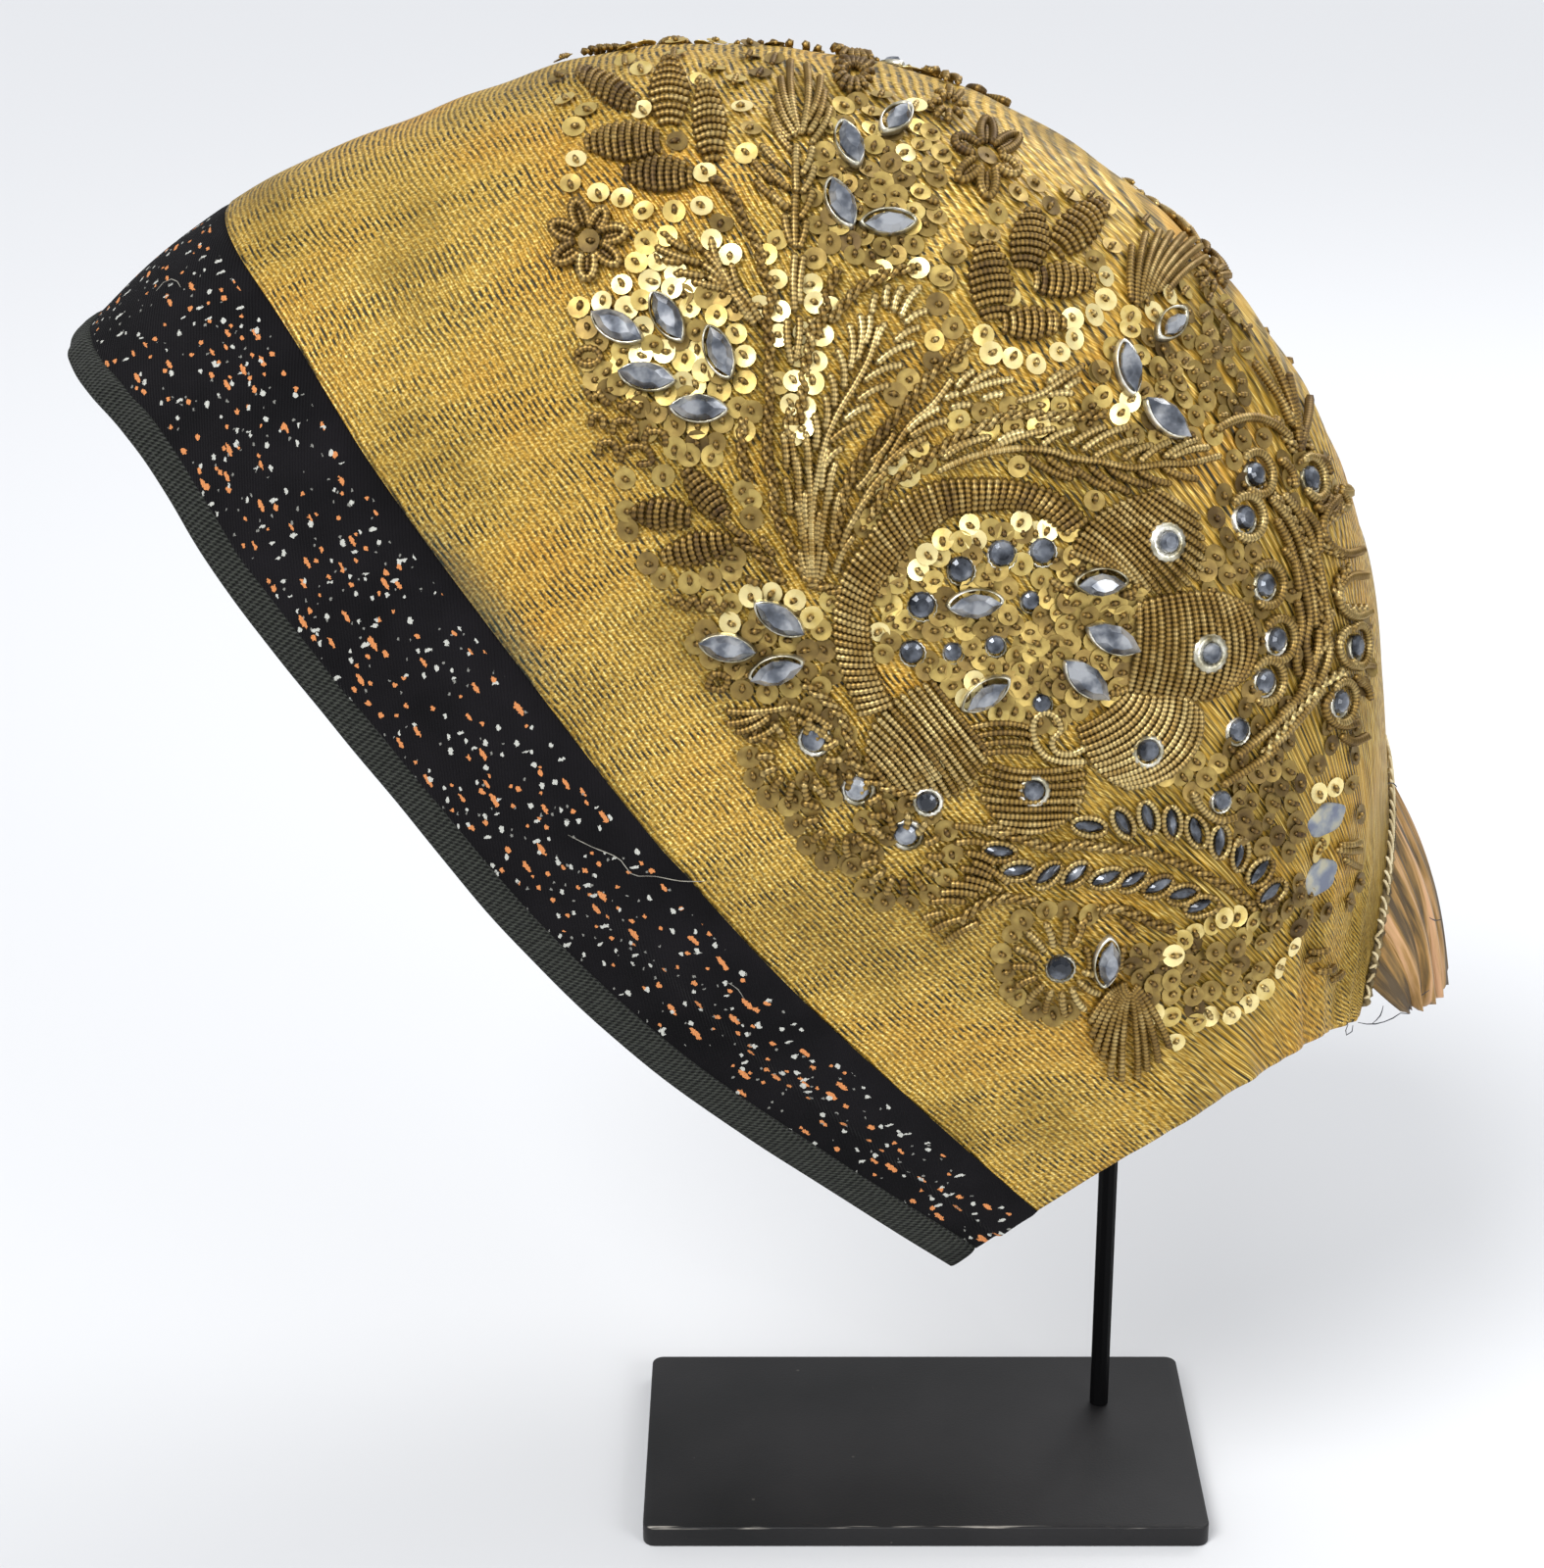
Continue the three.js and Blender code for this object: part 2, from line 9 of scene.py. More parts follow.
import bmesh
import bpy
import numpy as np
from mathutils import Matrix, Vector


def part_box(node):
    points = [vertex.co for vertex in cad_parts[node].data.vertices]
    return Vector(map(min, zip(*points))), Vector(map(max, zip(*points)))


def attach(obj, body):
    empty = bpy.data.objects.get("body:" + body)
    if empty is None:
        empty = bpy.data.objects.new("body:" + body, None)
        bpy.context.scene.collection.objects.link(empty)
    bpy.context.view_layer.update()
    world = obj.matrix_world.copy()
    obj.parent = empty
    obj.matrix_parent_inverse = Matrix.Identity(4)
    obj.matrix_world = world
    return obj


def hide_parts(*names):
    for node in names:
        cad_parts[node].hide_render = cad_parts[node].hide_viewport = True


bl_info = {
    "name": "Beaded coif on its stand",
    "version": (1, 0, 0),
    "blender": (4, 5, 0),
    "location": "3D View > Sidebar > Coif",
    "description": "Dresses the coif's solids with cloth, metal embroidery, foiled stones and a stand",
    "category": "Add Mesh",
}

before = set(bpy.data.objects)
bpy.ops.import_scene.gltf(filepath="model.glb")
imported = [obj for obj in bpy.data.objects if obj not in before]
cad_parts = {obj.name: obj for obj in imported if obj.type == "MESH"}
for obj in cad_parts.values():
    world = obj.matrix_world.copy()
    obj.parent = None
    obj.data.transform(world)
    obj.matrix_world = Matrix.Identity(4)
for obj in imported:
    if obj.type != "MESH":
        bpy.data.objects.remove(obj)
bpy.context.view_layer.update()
MM = 0.001

# The coif's sizes and its place in the frame, as in the solids; the roll is in points of an edge.
FACE_HEIGHT = 236.0
CROWN_DEPTH = 163.0
HALF_WIDTH = 76.0
FACE_BOW = 9.0
COIF_TILT = math.radians(45)
SECTION_ROUNDNESS = 2.3
CLOTH_WALL = 1.8
EDGE_ROLL = 3
BINDING_WIDTH = 6.5
BINDING_WALL = 3.2
SEAM_GAP = 0.35
COIF_PLACE = np.array([31.945, 0.0, 71.8])
BAND_SEAM = 0.1
NAPE_SEAM = 1.0

# The nape gather's sizes, as in the solids.
GATHER_EDGE = {"end_back": 0.556, "end_up": -0.152, "tail_back": 0.606, "tail_up": -0.192, "width": 0.34}
GATHER_SPAN = 0.94
GATHER_FAN = 1.6
GATHER_WALL = 1.6
GATHER_BULGE = 2.5
PLEAT_DEPTH = 0.9
PLEAT_COUNT = 12

# Camera: place in millimetres, downward pitch, focal length and frame in picture pixels, then distance
# to the coif and sensor width in millimetres. A place on the cloth is found in a few Newton steps.
CAMERA_PLACE = np.array([-2.12, -635.51, 403.20])
CAMERA_PITCH = math.radians(21.876)
CAMERA_FOCAL = 3500.0
PICTURE = (1575, 1600)
CAMERA_RANGE = 625.0
SENSOR_WIDTH = 36.0
NEWTON_STEPS = 6

# Small sizes: the first four in picture pixels, the rest in millimetres; the lean is an angle.
STONE_CLEARANCE = 15
SUN_SEQUIN_GAP = 7
EAR_LONG = 17
EAR_WIDE = 9.5
STONE_RING = 3.9
EAR_STONE = (2.7, 1.05)
NAVETTE = (4.7, 2.3)
SEQUIN_LEVELS = (0.14, 0.02, -0.08, 0.04)
SEQUIN_LEAN = math.radians(14)
STITCH_SPACING = 2.1
FLOOR_HALF = 6000.0


def table(columns, rows):
    """Rows of numbers as one array for each named column."""
    values = np.array(rows, float)
    return {name: values[:, k] for k, name in enumerate(columns.split())}


def spots(rows):
    """The x and y columns of a table as picture places."""
    return np.stack([rows["x"], rows["y"]], axis=-1)


# Arch sections of the coif from the face edge to the nape seam, as shares of the sizes above.
SECTIONS = table(
    "station hem_back hem_up ridge_back ridge_up width tuck bow",
    [
        (0.00, 0.000, 0.000, 0.000, 1.000, 0.920, 0.160, 1.00),
        (0.05, 0.066, -0.003, 0.128, 0.996, 0.945, 0.165, 0.75),
        (0.10, 0.128, -0.008, 0.252, 0.984, 0.960, 0.170, 0.50),
        (0.20, 0.244, -0.019, 0.478, 0.924, 0.990, 0.180, 0.20),
        (0.30, 0.321, -0.030, 0.688, 0.848, 1.000, 0.190, 0.00),
        (0.40, 0.382, -0.043, 0.850, 0.733, 0.960, 0.200, 0.00),
        (0.50, 0.436, -0.058, 0.957, 0.598, 0.890, 0.200, 0.00),
        (0.60, 0.473, -0.075, 1.000, 0.436, 0.770, 0.180, 0.00),
        (0.70, 0.494, -0.094, 0.978, 0.272, 0.620, 0.140, 0.00),
        (0.80, 0.506, -0.111, 0.906, 0.146, 0.500, 0.100, 0.00),
        (0.90, 0.513, -0.121, 0.832, 0.071, 0.430, 0.060, 0.00),
        (1.00, 0.518, -0.128, 0.728, -0.020, 0.380, 0.040, 0.00),
    ],
)
FACE_BOW_LINE = table(
    "rise offset",
    [(0.0, 0.0), (0.15, -0.55), (0.3, -1.0), (0.45, -0.95), (0.6, -0.5), (0.8, 0.0), (0.93, 0.4), (1.0, 0.0)]
)


# The metal embroidery's layout, in picture pixels

# Petals sewn across their length, from tip to base.
PETALS = table(
    "tip_x tip_y base_x base_y width tone",
    [
        (591, 75, 653, 113, 28, 0.3), (683, 62, 683, 133, 42, 0.45), (719, 86, 727, 169, 36, 0.55),
        (599, 148, 676, 146, 40, 0.35), (638, 179, 709, 181, 38, 0.35), (700, 480, 741, 530, 32, 0.35),
        (646, 522, 708, 527, 36, 0.35), (676, 568, 748, 551, 36, 0.35), (1052, 216, 1044, 278, 42, 0.35),
        (1124, 208, 1072, 260, 42, 0.35), (1003, 248, 1014, 330, 46, 0.4), (1114, 288, 1050, 288, 38, 0.35),
        (1084, 330, 1018, 332, 36, 0.4)
    ]
)

# Broad raised bands of purl laid from one edge to the other; a middle line bends the stitches.
BANDS = {
    "heart_arch": {
        "rise": 1.0, "tone": 0.5,
        "from": [
            (874, 728), (862, 700), (853, 676), (849, 650), (849, 622), (853, 598), (862, 576), (876, 556),
            (893, 532), (912, 512), (935, 497), (958, 489), (985, 487), (1012, 487), (1040, 490), (1068, 497),
            (1092, 512), (1108, 528),
        ],
        "to": [
            (912, 716), (900, 694), (892, 672), (889, 650), (888, 628), (893, 610), (903, 594), (914, 578),
            (925, 562), (940, 549), (955, 538), (968, 528), (985, 524), (1005, 522), (1030, 520), (1052, 524),
            (1068, 532), (1083, 545),
        ],
    },
    "upper_wing": {
        "rise": 0.9, "tone": 0.55,
        "from": [(1176, 500), (1148, 508), (1122, 521), (1102, 540), (1089, 562)],
        "to": [(1222, 530), (1227, 560), (1224, 588), (1205, 602), (1180, 606), (1150, 592), (1135, 582)],
    },
    "right_wing": {
        "rise": 0.9, "tone": 0.5,
        "from": [(1160, 612), (1185, 606), (1215, 602), (1245, 604), (1262, 612)],
        "middle": [(1158, 660), (1188, 662), (1218, 662), (1252, 664), (1276, 656)],
        "to": [(1150, 706), (1175, 712), (1205, 716), (1235, 712), (1262, 696)],
    },
    "lower_wing": {
        "rise": 0.8, "tone": 0.55,
        "from": [(1150, 704), (1170, 706), (1190, 706), (1210, 710), (1222, 722)],
        "middle": [(1133, 722), (1150, 737), (1168, 752), (1188, 765), (1206, 777)],
        "to": [(1096, 744), (1102, 762), (1110, 778), (1124, 792), (1145, 803)],
    },
    "left_wing": {
        "rise": 0.9, "tone": 0.5,
        "from": [(950, 694), (930, 700), (912, 712), (896, 728), (884, 748), (882, 770)],
        "to": [(1010, 770), (1003, 785), (994, 800), (975, 812), (945, 812), (915, 808)],
    },
    "foot": {
        "rise": 0.7, "tone": 0.5,
        "from": [(1011, 778), (1000, 790), (997, 805), (1003, 820), (1012, 832), (1024, 842)],
        "middle": [(1058, 786), (1056, 798), (1054, 812), (1054, 826), (1054, 836), (1052, 846)],
        "to": [(1106, 778), (1108, 790), (1108, 803), (1104, 818), (1096, 832), (1080, 842)],
    },
    "small_wing": {
        "rise": 0.5, "tone": 0.45,
        "from": [(983, 744), (990, 756), (1000, 768)],
        "middle": [(1016, 736), (1022, 750), (1028, 764)],
        "to": [(1050, 742), (1054, 754), (1052, 768)],
    },
}

# Ropes of two twisted purls, with their tone.
ROPES = [
    (0.4, [
        (726, 183), (751, 209), (759, 230), (774, 255), (777, 276), (788, 300), (782, 323), (785.5, 356),
        (784, 379), (785.5, 404), (784, 429), (783, 462), (789, 490), (791, 520), (804, 549), (814, 573),
        (829, 592), (860, 604),
    ]),
    (0.4, [(855, 275), (846, 296), (840, 320), (835, 336), (826, 353), (821, 379), (819, 399), (814, 434)]),
    (0.4, [
        (989, 349), (971, 366), (946, 386), (929, 408), (913, 426), (896, 446), (880, 466), (866, 489),
        (860, 510), (850, 560),
    ]),
    (0.5, [
        (1127, 423), (1101, 425), (1068, 425), (1038, 423), (1019, 427), (1004, 434), (976, 446), (954, 462),
        (929, 479), (906, 496), (888, 529),
    ]),
    (0.5, [(934, 276), (918, 277), (899, 285), (880, 293), (870, 301), (860, 313), (846, 330)]),
    (0.4, [(759, 426), (757, 454), (761, 479), (767, 490)]),
    (0.4, [(749, 546), (774, 564), (787, 579), (801, 594)]),
    (0.45, [(828, 325), (826, 353)]),
    (0.45, [(807, 417), (802, 446)]),
    (0.5, [(819, 694), (844, 714), (859, 730), (867, 755), (874, 779), (900, 800), (940, 812)]),
    (0.5, [
        (1006, 838), (1026, 847), (1049, 856), (1076, 864), (1100, 861), (1131, 863), (1167, 867),
        (1198, 878), (1222, 888), (1243, 900), (1263, 912), (1280, 927),
    ]),
    (0.5, [(978, 939), (1003, 920), (1026, 914), (1058, 917)]),
    (0.5, [(1120, 930), (1138, 924), (1155, 930), (1175, 940), (1196, 947)]),
    (0.5, [
        (1295, 505), (1316, 535), (1332, 567), (1341, 599), (1341, 627), (1348, 652), (1336, 672),
        (1332, 695), (1318, 716),
    ]),
    (0.75, [(1286, 769), (1320, 723), (1348, 695), (1368, 684)]),
    (0.5, [(1364, 521), (1343, 542), (1348, 558), (1368, 567)]),
    (0.5, [(1371, 578), (1359, 599), (1368, 620), (1389, 622)]),
    (0.5, [(1309, 422), (1320, 440), (1334, 461)]),
    (0.5, [(1296, 426), (1306, 444), (1318, 462)]),
]

# Single purls laid as curves, with their tone.
CURVES = [
    (0.6, [(896, 333), (886, 366), (873, 391), (855, 421), (843, 449), (835, 482), (830, 510), (828, 580)]),
    (0.55, [(971, 386), (948, 416), (929, 432), (906, 467)]),
    (0.55, [(1104, 373), (1076, 392), (1063, 401), (1035, 411)]),
    (0.55, [
        (960, 478), (985, 469), (1010, 461), (1043, 458), (1068, 460), (1093, 468), (1118, 471), (1151, 478),
        (1184, 474), (1205, 474), (1242, 466),
    ]),
    (0.7, [(1040, 457), (1012, 461), (986, 467), (954, 482)]),
    (0.8, [
        (1107, 760), (1091, 768), (1076, 766), (1072, 756), (1081, 743), (1076, 730), (1064, 726),
        (1056, 731), (1057, 760), (1066, 771), (1082, 776), (1107, 775),
    ]),
    (0.4, [(721, 702), (730, 686), (743, 690), (738, 702), (724, 700)]),
    (0.35, [(604, 436), (606, 424), (615, 424), (616, 438)]),
    (0.35, [(626, 444), (628, 431), (647, 431), (649, 444), (640, 448)]),
    (0.35, [(658, 456), (660, 442), (678, 442), (680, 456)]),
    (0.35, [(612, 466), (614, 452), (628, 452), (630, 466)]),
    (0.35, [(633, 472), (638, 458), (662, 458), (666, 471), (650, 474)]),
    (0.35, [(588, 364), (594, 357), (608, 357), (614, 364), (608, 371), (594, 371), (588, 364)]),
    (0.35, [(598, 397), (606, 407), (612, 400), (618, 410), (625, 412)]),
    (0.35, [(631, 411), (638, 418), (642, 410), (653, 421)]),
    (0.4, [(684, 616), (692, 608), (700, 620), (708, 609), (716, 621), (724, 610), (734, 622), (742, 612)]),
    (0.5, [(848, 480), (842, 520), (836, 560), (832, 600)]),
    (0.5, [(822, 440), (826, 490), (828, 540), (830, 600)]),
    (0.45, [(806, 440), (814, 490), (820, 540), (828, 600)]),
]

# Thick purls of the right side, with their tone.
THICK_CURVES = [
    (0.5, [(1290, 508), (1304, 524), (1316, 545), (1324, 568), (1330, 592), (1334, 616), (1336, 640)]),
    (0.45, [(1303, 505), (1318, 524), (1330, 547), (1338, 572), (1343, 598), (1347, 622), (1350, 646)]),
    (0.4, [(1304, 560), (1318, 578), (1326, 604), (1330, 630), (1326, 656), (1330, 680), (1322, 704)]),
    (0.4, [(1360, 508), (1348, 522), (1344, 540), (1352, 558), (1368, 566), (1384, 562)]),
    (0.45, [(1388, 588), (1370, 590), (1360, 606), (1364, 622), (1378, 630), (1392, 624)]),
    (0.4, [(1354, 622), (1346, 640), (1350, 660), (1346, 682), (1336, 700)]),
    (0.5, [(1371, 640), (1362, 650), (1361, 666), (1370, 678), (1384, 680)]),
    (0.35, [(1354, 706), (1346, 718), (1352, 734), (1366, 740), (1380, 736)]),
    (0.35, [(1362, 750), (1374, 756), (1390, 750)]),
    (0.45, [(1296, 530), (1308, 552), (1316, 578), (1320, 604)]),
    (0.4, [(1322, 520), (1338, 540), (1340, 566)]),
    (0.4, [(1318, 612), (1322, 640), (1316, 668), (1320, 690)]),
    (0.4, [(1340, 640), (1338, 664), (1330, 690), (1318, 712), (1300, 730)]),
    (0.5, [(1316, 716), (1296, 738), (1276, 756), (1256, 772)]),
    (0.5, [(1345, 700), (1330, 720), (1310, 744), (1290, 764)]),
    (0.4, [(1376, 690), (1388, 700), (1392, 714)]),
    (0.4, [(1300, 470), (1312, 482), (1316, 500)]),
    (0.4, [(1328, 468), (1344, 472), (1352, 486)]),
    (0.5, [(1240, 800), (1262, 788), (1284, 774), (1300, 760)]),
    (0.5, [(1214, 806), (1222, 822), (1238, 834), (1256, 832)]),
    (0.35, [(1273, 372), (1288, 392), (1302, 412), (1312, 436)]),
    (0.35, [(1290, 366), (1302, 390), (1312, 416), (1318, 442)]),
    (0.3, [(1308, 384), (1314, 408), (1318, 432), (1320, 456)]),
    (0.3, [(1330, 408), (1328, 428), (1324, 446), (1320, 462)]),
    (0.4, [(1236, 440), (1256, 430), (1276, 428), (1296, 436), (1312, 450)]),
]

# Straight purls, each with a slight bend in pixels to its left.
BARBS = table(
    "x0 y0 x1 y1 bend tone",
    [
        (921, 293, 911, 321, 3, 0.85), (939, 293, 918, 326, 3, 0.9), (906, 291, 903, 316, 2, 0.75),
        (894, 301, 889, 323, 2, 0.7), (947, 318, 921, 333, 3, 0.7), (939, 335, 911, 351, 3, 0.7),
        (934, 351, 893, 373, 4, 0.7), (921, 373, 880, 391, 4, 0.65), (908, 393, 873, 411, 3, 0.65),
        (889, 414, 860, 431, 3, 0.85), (878, 432, 846, 452, 3, 0.6), (861, 456, 840, 477, 3, 0.6),
        (865, 331, 866, 379, -4, 0.7), (853, 356, 860, 398, -4, 0.65), (876, 321, 873, 369, -4, 0.75),
        (886, 321, 880, 353, -3, 0.7), (904, 330, 893, 356, 3, 0.7), (846, 381, 850, 417, -3, 0.6),
        (841, 403, 841, 439, -3, 0.6), (830, 422, 831, 459, -3, 0.6), (821, 449, 823, 482, -3, 0.55),
        (811, 464, 813, 505, -3, 0.5), (811, 260, 811, 320, 2, 0.6), (803, 326, 808, 373, 2, 0.55),
        (815, 323, 811, 369, -2, 0.55), (820, 262, 816, 312, 2, 0.55), (798, 440, 802, 480, -2, 0.5),
        (801, 486, 806, 526, -2, 0.5), (812, 510, 818, 552, -2, 0.5), (845, 455, 838, 500, 2, 0.6),
        (853, 470, 846, 512, 2, 0.55), (858, 500, 850, 545, 2, 0.5), (822, 500, 824, 540, 2, 0.55),
        (838, 520, 834, 556, 2, 0.5), (816, 560, 826, 590, 2, 0.5), (842, 560, 836, 592, -2, 0.5),
        (806, 66, 815, 140, 4, 0.45), (792, 100, 812, 143, 4, 0.45), (822, 70, 817, 140, -4, 0.5),
        (796, 82, 812, 130, 4, 0.45), (836, 82, 822, 128, -4, 0.5), (840, 96, 824, 140, -4, 0.45),
        (784, 112, 806, 146, 4, 0.4), (846, 112, 826, 150, -4, 0.45), (788, 128, 808, 158, 3, 0.4),
        (776, 150, 804, 178, 3, 0.45), (782, 172, 806, 196, 3, 0.45), (786, 196, 806, 216, 3, 0.45),
        (828, 152, 816, 182, -3, 0.5), (830, 172, 816, 200, -3, 0.5), (828, 196, 814, 226, -3, 0.5),
        (812, 150, 812, 200, 1, 0.5), (811, 200, 811, 256, 1, 0.5), (800, 220, 808, 252, 2, 0.5),
        (822, 226, 814, 256, -2, 0.5), (768, 166, 790, 188, 3, 0.4), (770, 186, 794, 206, 3, 0.4),
        (994, 379, 974, 398, 3, 0.7), (1017, 379, 987, 396, 3, 0.7), (1034, 388, 979, 403, 3, 0.75),
        (979, 403, 961, 409, 2, 0.8), (1024, 403, 999, 409, 2, 0.8), (991, 414, 967, 418, 2, 0.65),
        (967, 429, 926, 447, 3, 0.6), (959, 416, 923, 442, 3, 0.85), (996, 449, 956, 466, 3, 0.6),
        (946, 446, 912, 470, 3, 0.55), (930, 452, 896, 484, 3, 0.55), (912, 440, 886, 472, -3, 0.55),
        (898, 462, 872, 500, -3, 0.5), (905, 480, 876, 520, 3, 0.5), (892, 500, 866, 540, 3, 0.5),
        (878, 520, 858, 560, 3, 0.5), (872, 545, 852, 585, 3, 0.5), (1086, 380, 1066, 393, 2, 0.65),
        (1101, 388, 1083, 400, 2, 0.65), (1094, 403, 1066, 405, 2, 0.65), (960, 469, 1010, 446, -4, 0.65),
        (1015, 453, 1045, 441, -3, 0.85), (1000, 463, 1076, 438, -4, 0.6), (1060, 456, 1096, 438, -3, 0.65),
        (1089, 456, 1127, 436, -3, 0.65), (1101, 461, 1151, 436, -4, 0.65), (1113, 468, 1159, 450, -4, 0.6),
        (1142, 470, 1174, 455, -3, 0.6), (1159, 473, 1192, 451, -3, 0.6), (1184, 468, 1220, 450, -3, 0.6),
        (1191, 468, 1231, 458, -3, 0.6), (1045, 465, 1093, 489, 3, 0.4), (1066, 466, 1098, 484, 3, 0.4),
        (1093, 476, 1131, 499, 3, 0.4), (1109, 476, 1151, 503, 3, 0.4), (1129, 479, 1172, 496, 3, 0.4),
        (1159, 481, 1192, 494, 3, 0.4), (1184, 478, 1220, 489, 3, 0.4), (1166, 240, 1157, 315, 4, 0.5),
        (1180, 238, 1160, 312, 4, 0.5), (1192, 240, 1164, 308, 5, 0.55), (1204, 243, 1168, 304, 5, 0.5),
        (1214, 248, 1172, 302, 5, 0.5), (1222, 254, 1178, 300, 4, 0.5), (1152, 252, 1152, 310, 3, 0.45),
        (1226, 266, 1186, 302, 4, 0.5), (669, 253, 716, 270, 2, 0.5), (676, 266, 698, 269, 1, 0.5),
        (691, 278, 721, 283, 1, 0.5), (706, 288, 742, 296, 1, 0.5), (726, 246, 736, 275, 2, 0.5),
        (746, 270, 754, 296, 1, 0.5), (703, 240, 718, 258, 2, 0.5), (681, 243, 704, 257, 2, 0.5),
        (716, 270, 742, 294, -2, 0.5), (721, 283, 744, 302, -2, 0.5), (736, 275, 748, 304, -2, 0.5),
        (718, 258, 742, 290, -2, 0.5), (742, 296, 764, 329, -2, 0.55), (748, 300, 770, 334, -2, 0.5),
        (751, 294, 776, 330, -2, 0.5), (777, 546, 791, 566, 2, 0.4), (761, 587, 777, 594, 2, 0.4),
        (740, 530, 764, 548, 2, 0.4), (740, 724, 806, 719, 3, 0.45), (740, 737, 783, 724, 3, 0.45),
        (750, 746, 786, 729, 3, 0.45), (762, 754, 796, 736, 3, 0.45), (806, 719, 850, 742, -3, 0.5),
        (812, 732, 852, 758, -3, 0.5), (971, 841, 1026, 852, -3, 0.55), (973, 859, 1006, 859, -3, 0.5),
        (991, 877, 1029, 900, -3, 0.55), (983, 894, 1023, 907, -3, 0.5), (968, 901, 1008, 907, -3, 0.5),
        (958, 910, 999, 912, -3, 0.5), (948, 920, 986, 919, -3, 0.45), (940, 937, 965, 930, -2, 0.45),
        (949, 950, 988, 934, -3, 0.45), (963, 962, 1000, 939, -3, 0.45), (984, 868, 1016, 880, -3, 0.5),
        (978, 884, 1012, 894, -3, 0.5), (1150, 1000, 1109, 1041, 4, 0.45), (1150, 1002, 1111, 1054, 4, 0.45),
        (1150, 1004, 1115, 1068, 4, 0.5), (1151, 1006, 1122, 1077, 3, 0.5), (1151, 1008, 1131, 1093, 3, 0.5),
        (1152, 1008, 1143, 1100, 2, 0.5), (1153, 1008, 1161, 1103, -2, 0.45),
        (1154, 1006, 1170, 1093, -3, 0.45), (1155, 1004, 1180, 1082, -3, 0.4),
        (1156, 1002, 1190, 1066, -3, 0.4), (1363, 861, 1384, 857, 1, 0.5), (1360, 866, 1385, 866, 1, 0.5),
        (1366, 875, 1384, 884, 1, 0.5), (1330, 980, 1345, 976, 1, 0.4), (1342, 990, 1357, 983, 1, 0.4),
        (1352, 998, 1367, 990, 1, 0.4), (1336, 972, 1350, 966, 1, 0.4), (1106, 965, 1110, 990, -3, 0.45),
        (1146, 962, 1142, 988, 3, 0.45), (1098, 950, 1112, 938, -3, 0.45), (1140, 936, 1154, 950, -3, 0.45),
        (1090, 575, 1106, 590, 2, 0.4), (1140, 606, 1158, 600, 2, 0.4), (1128, 706, 1150, 700, 2, 0.4),
        (1112, 566, 1128, 584, 2, 0.4), (1070, 590, 1094, 604, 2, 0.4), (1078, 690, 1098, 680, 2, 0.4),
    ],
)

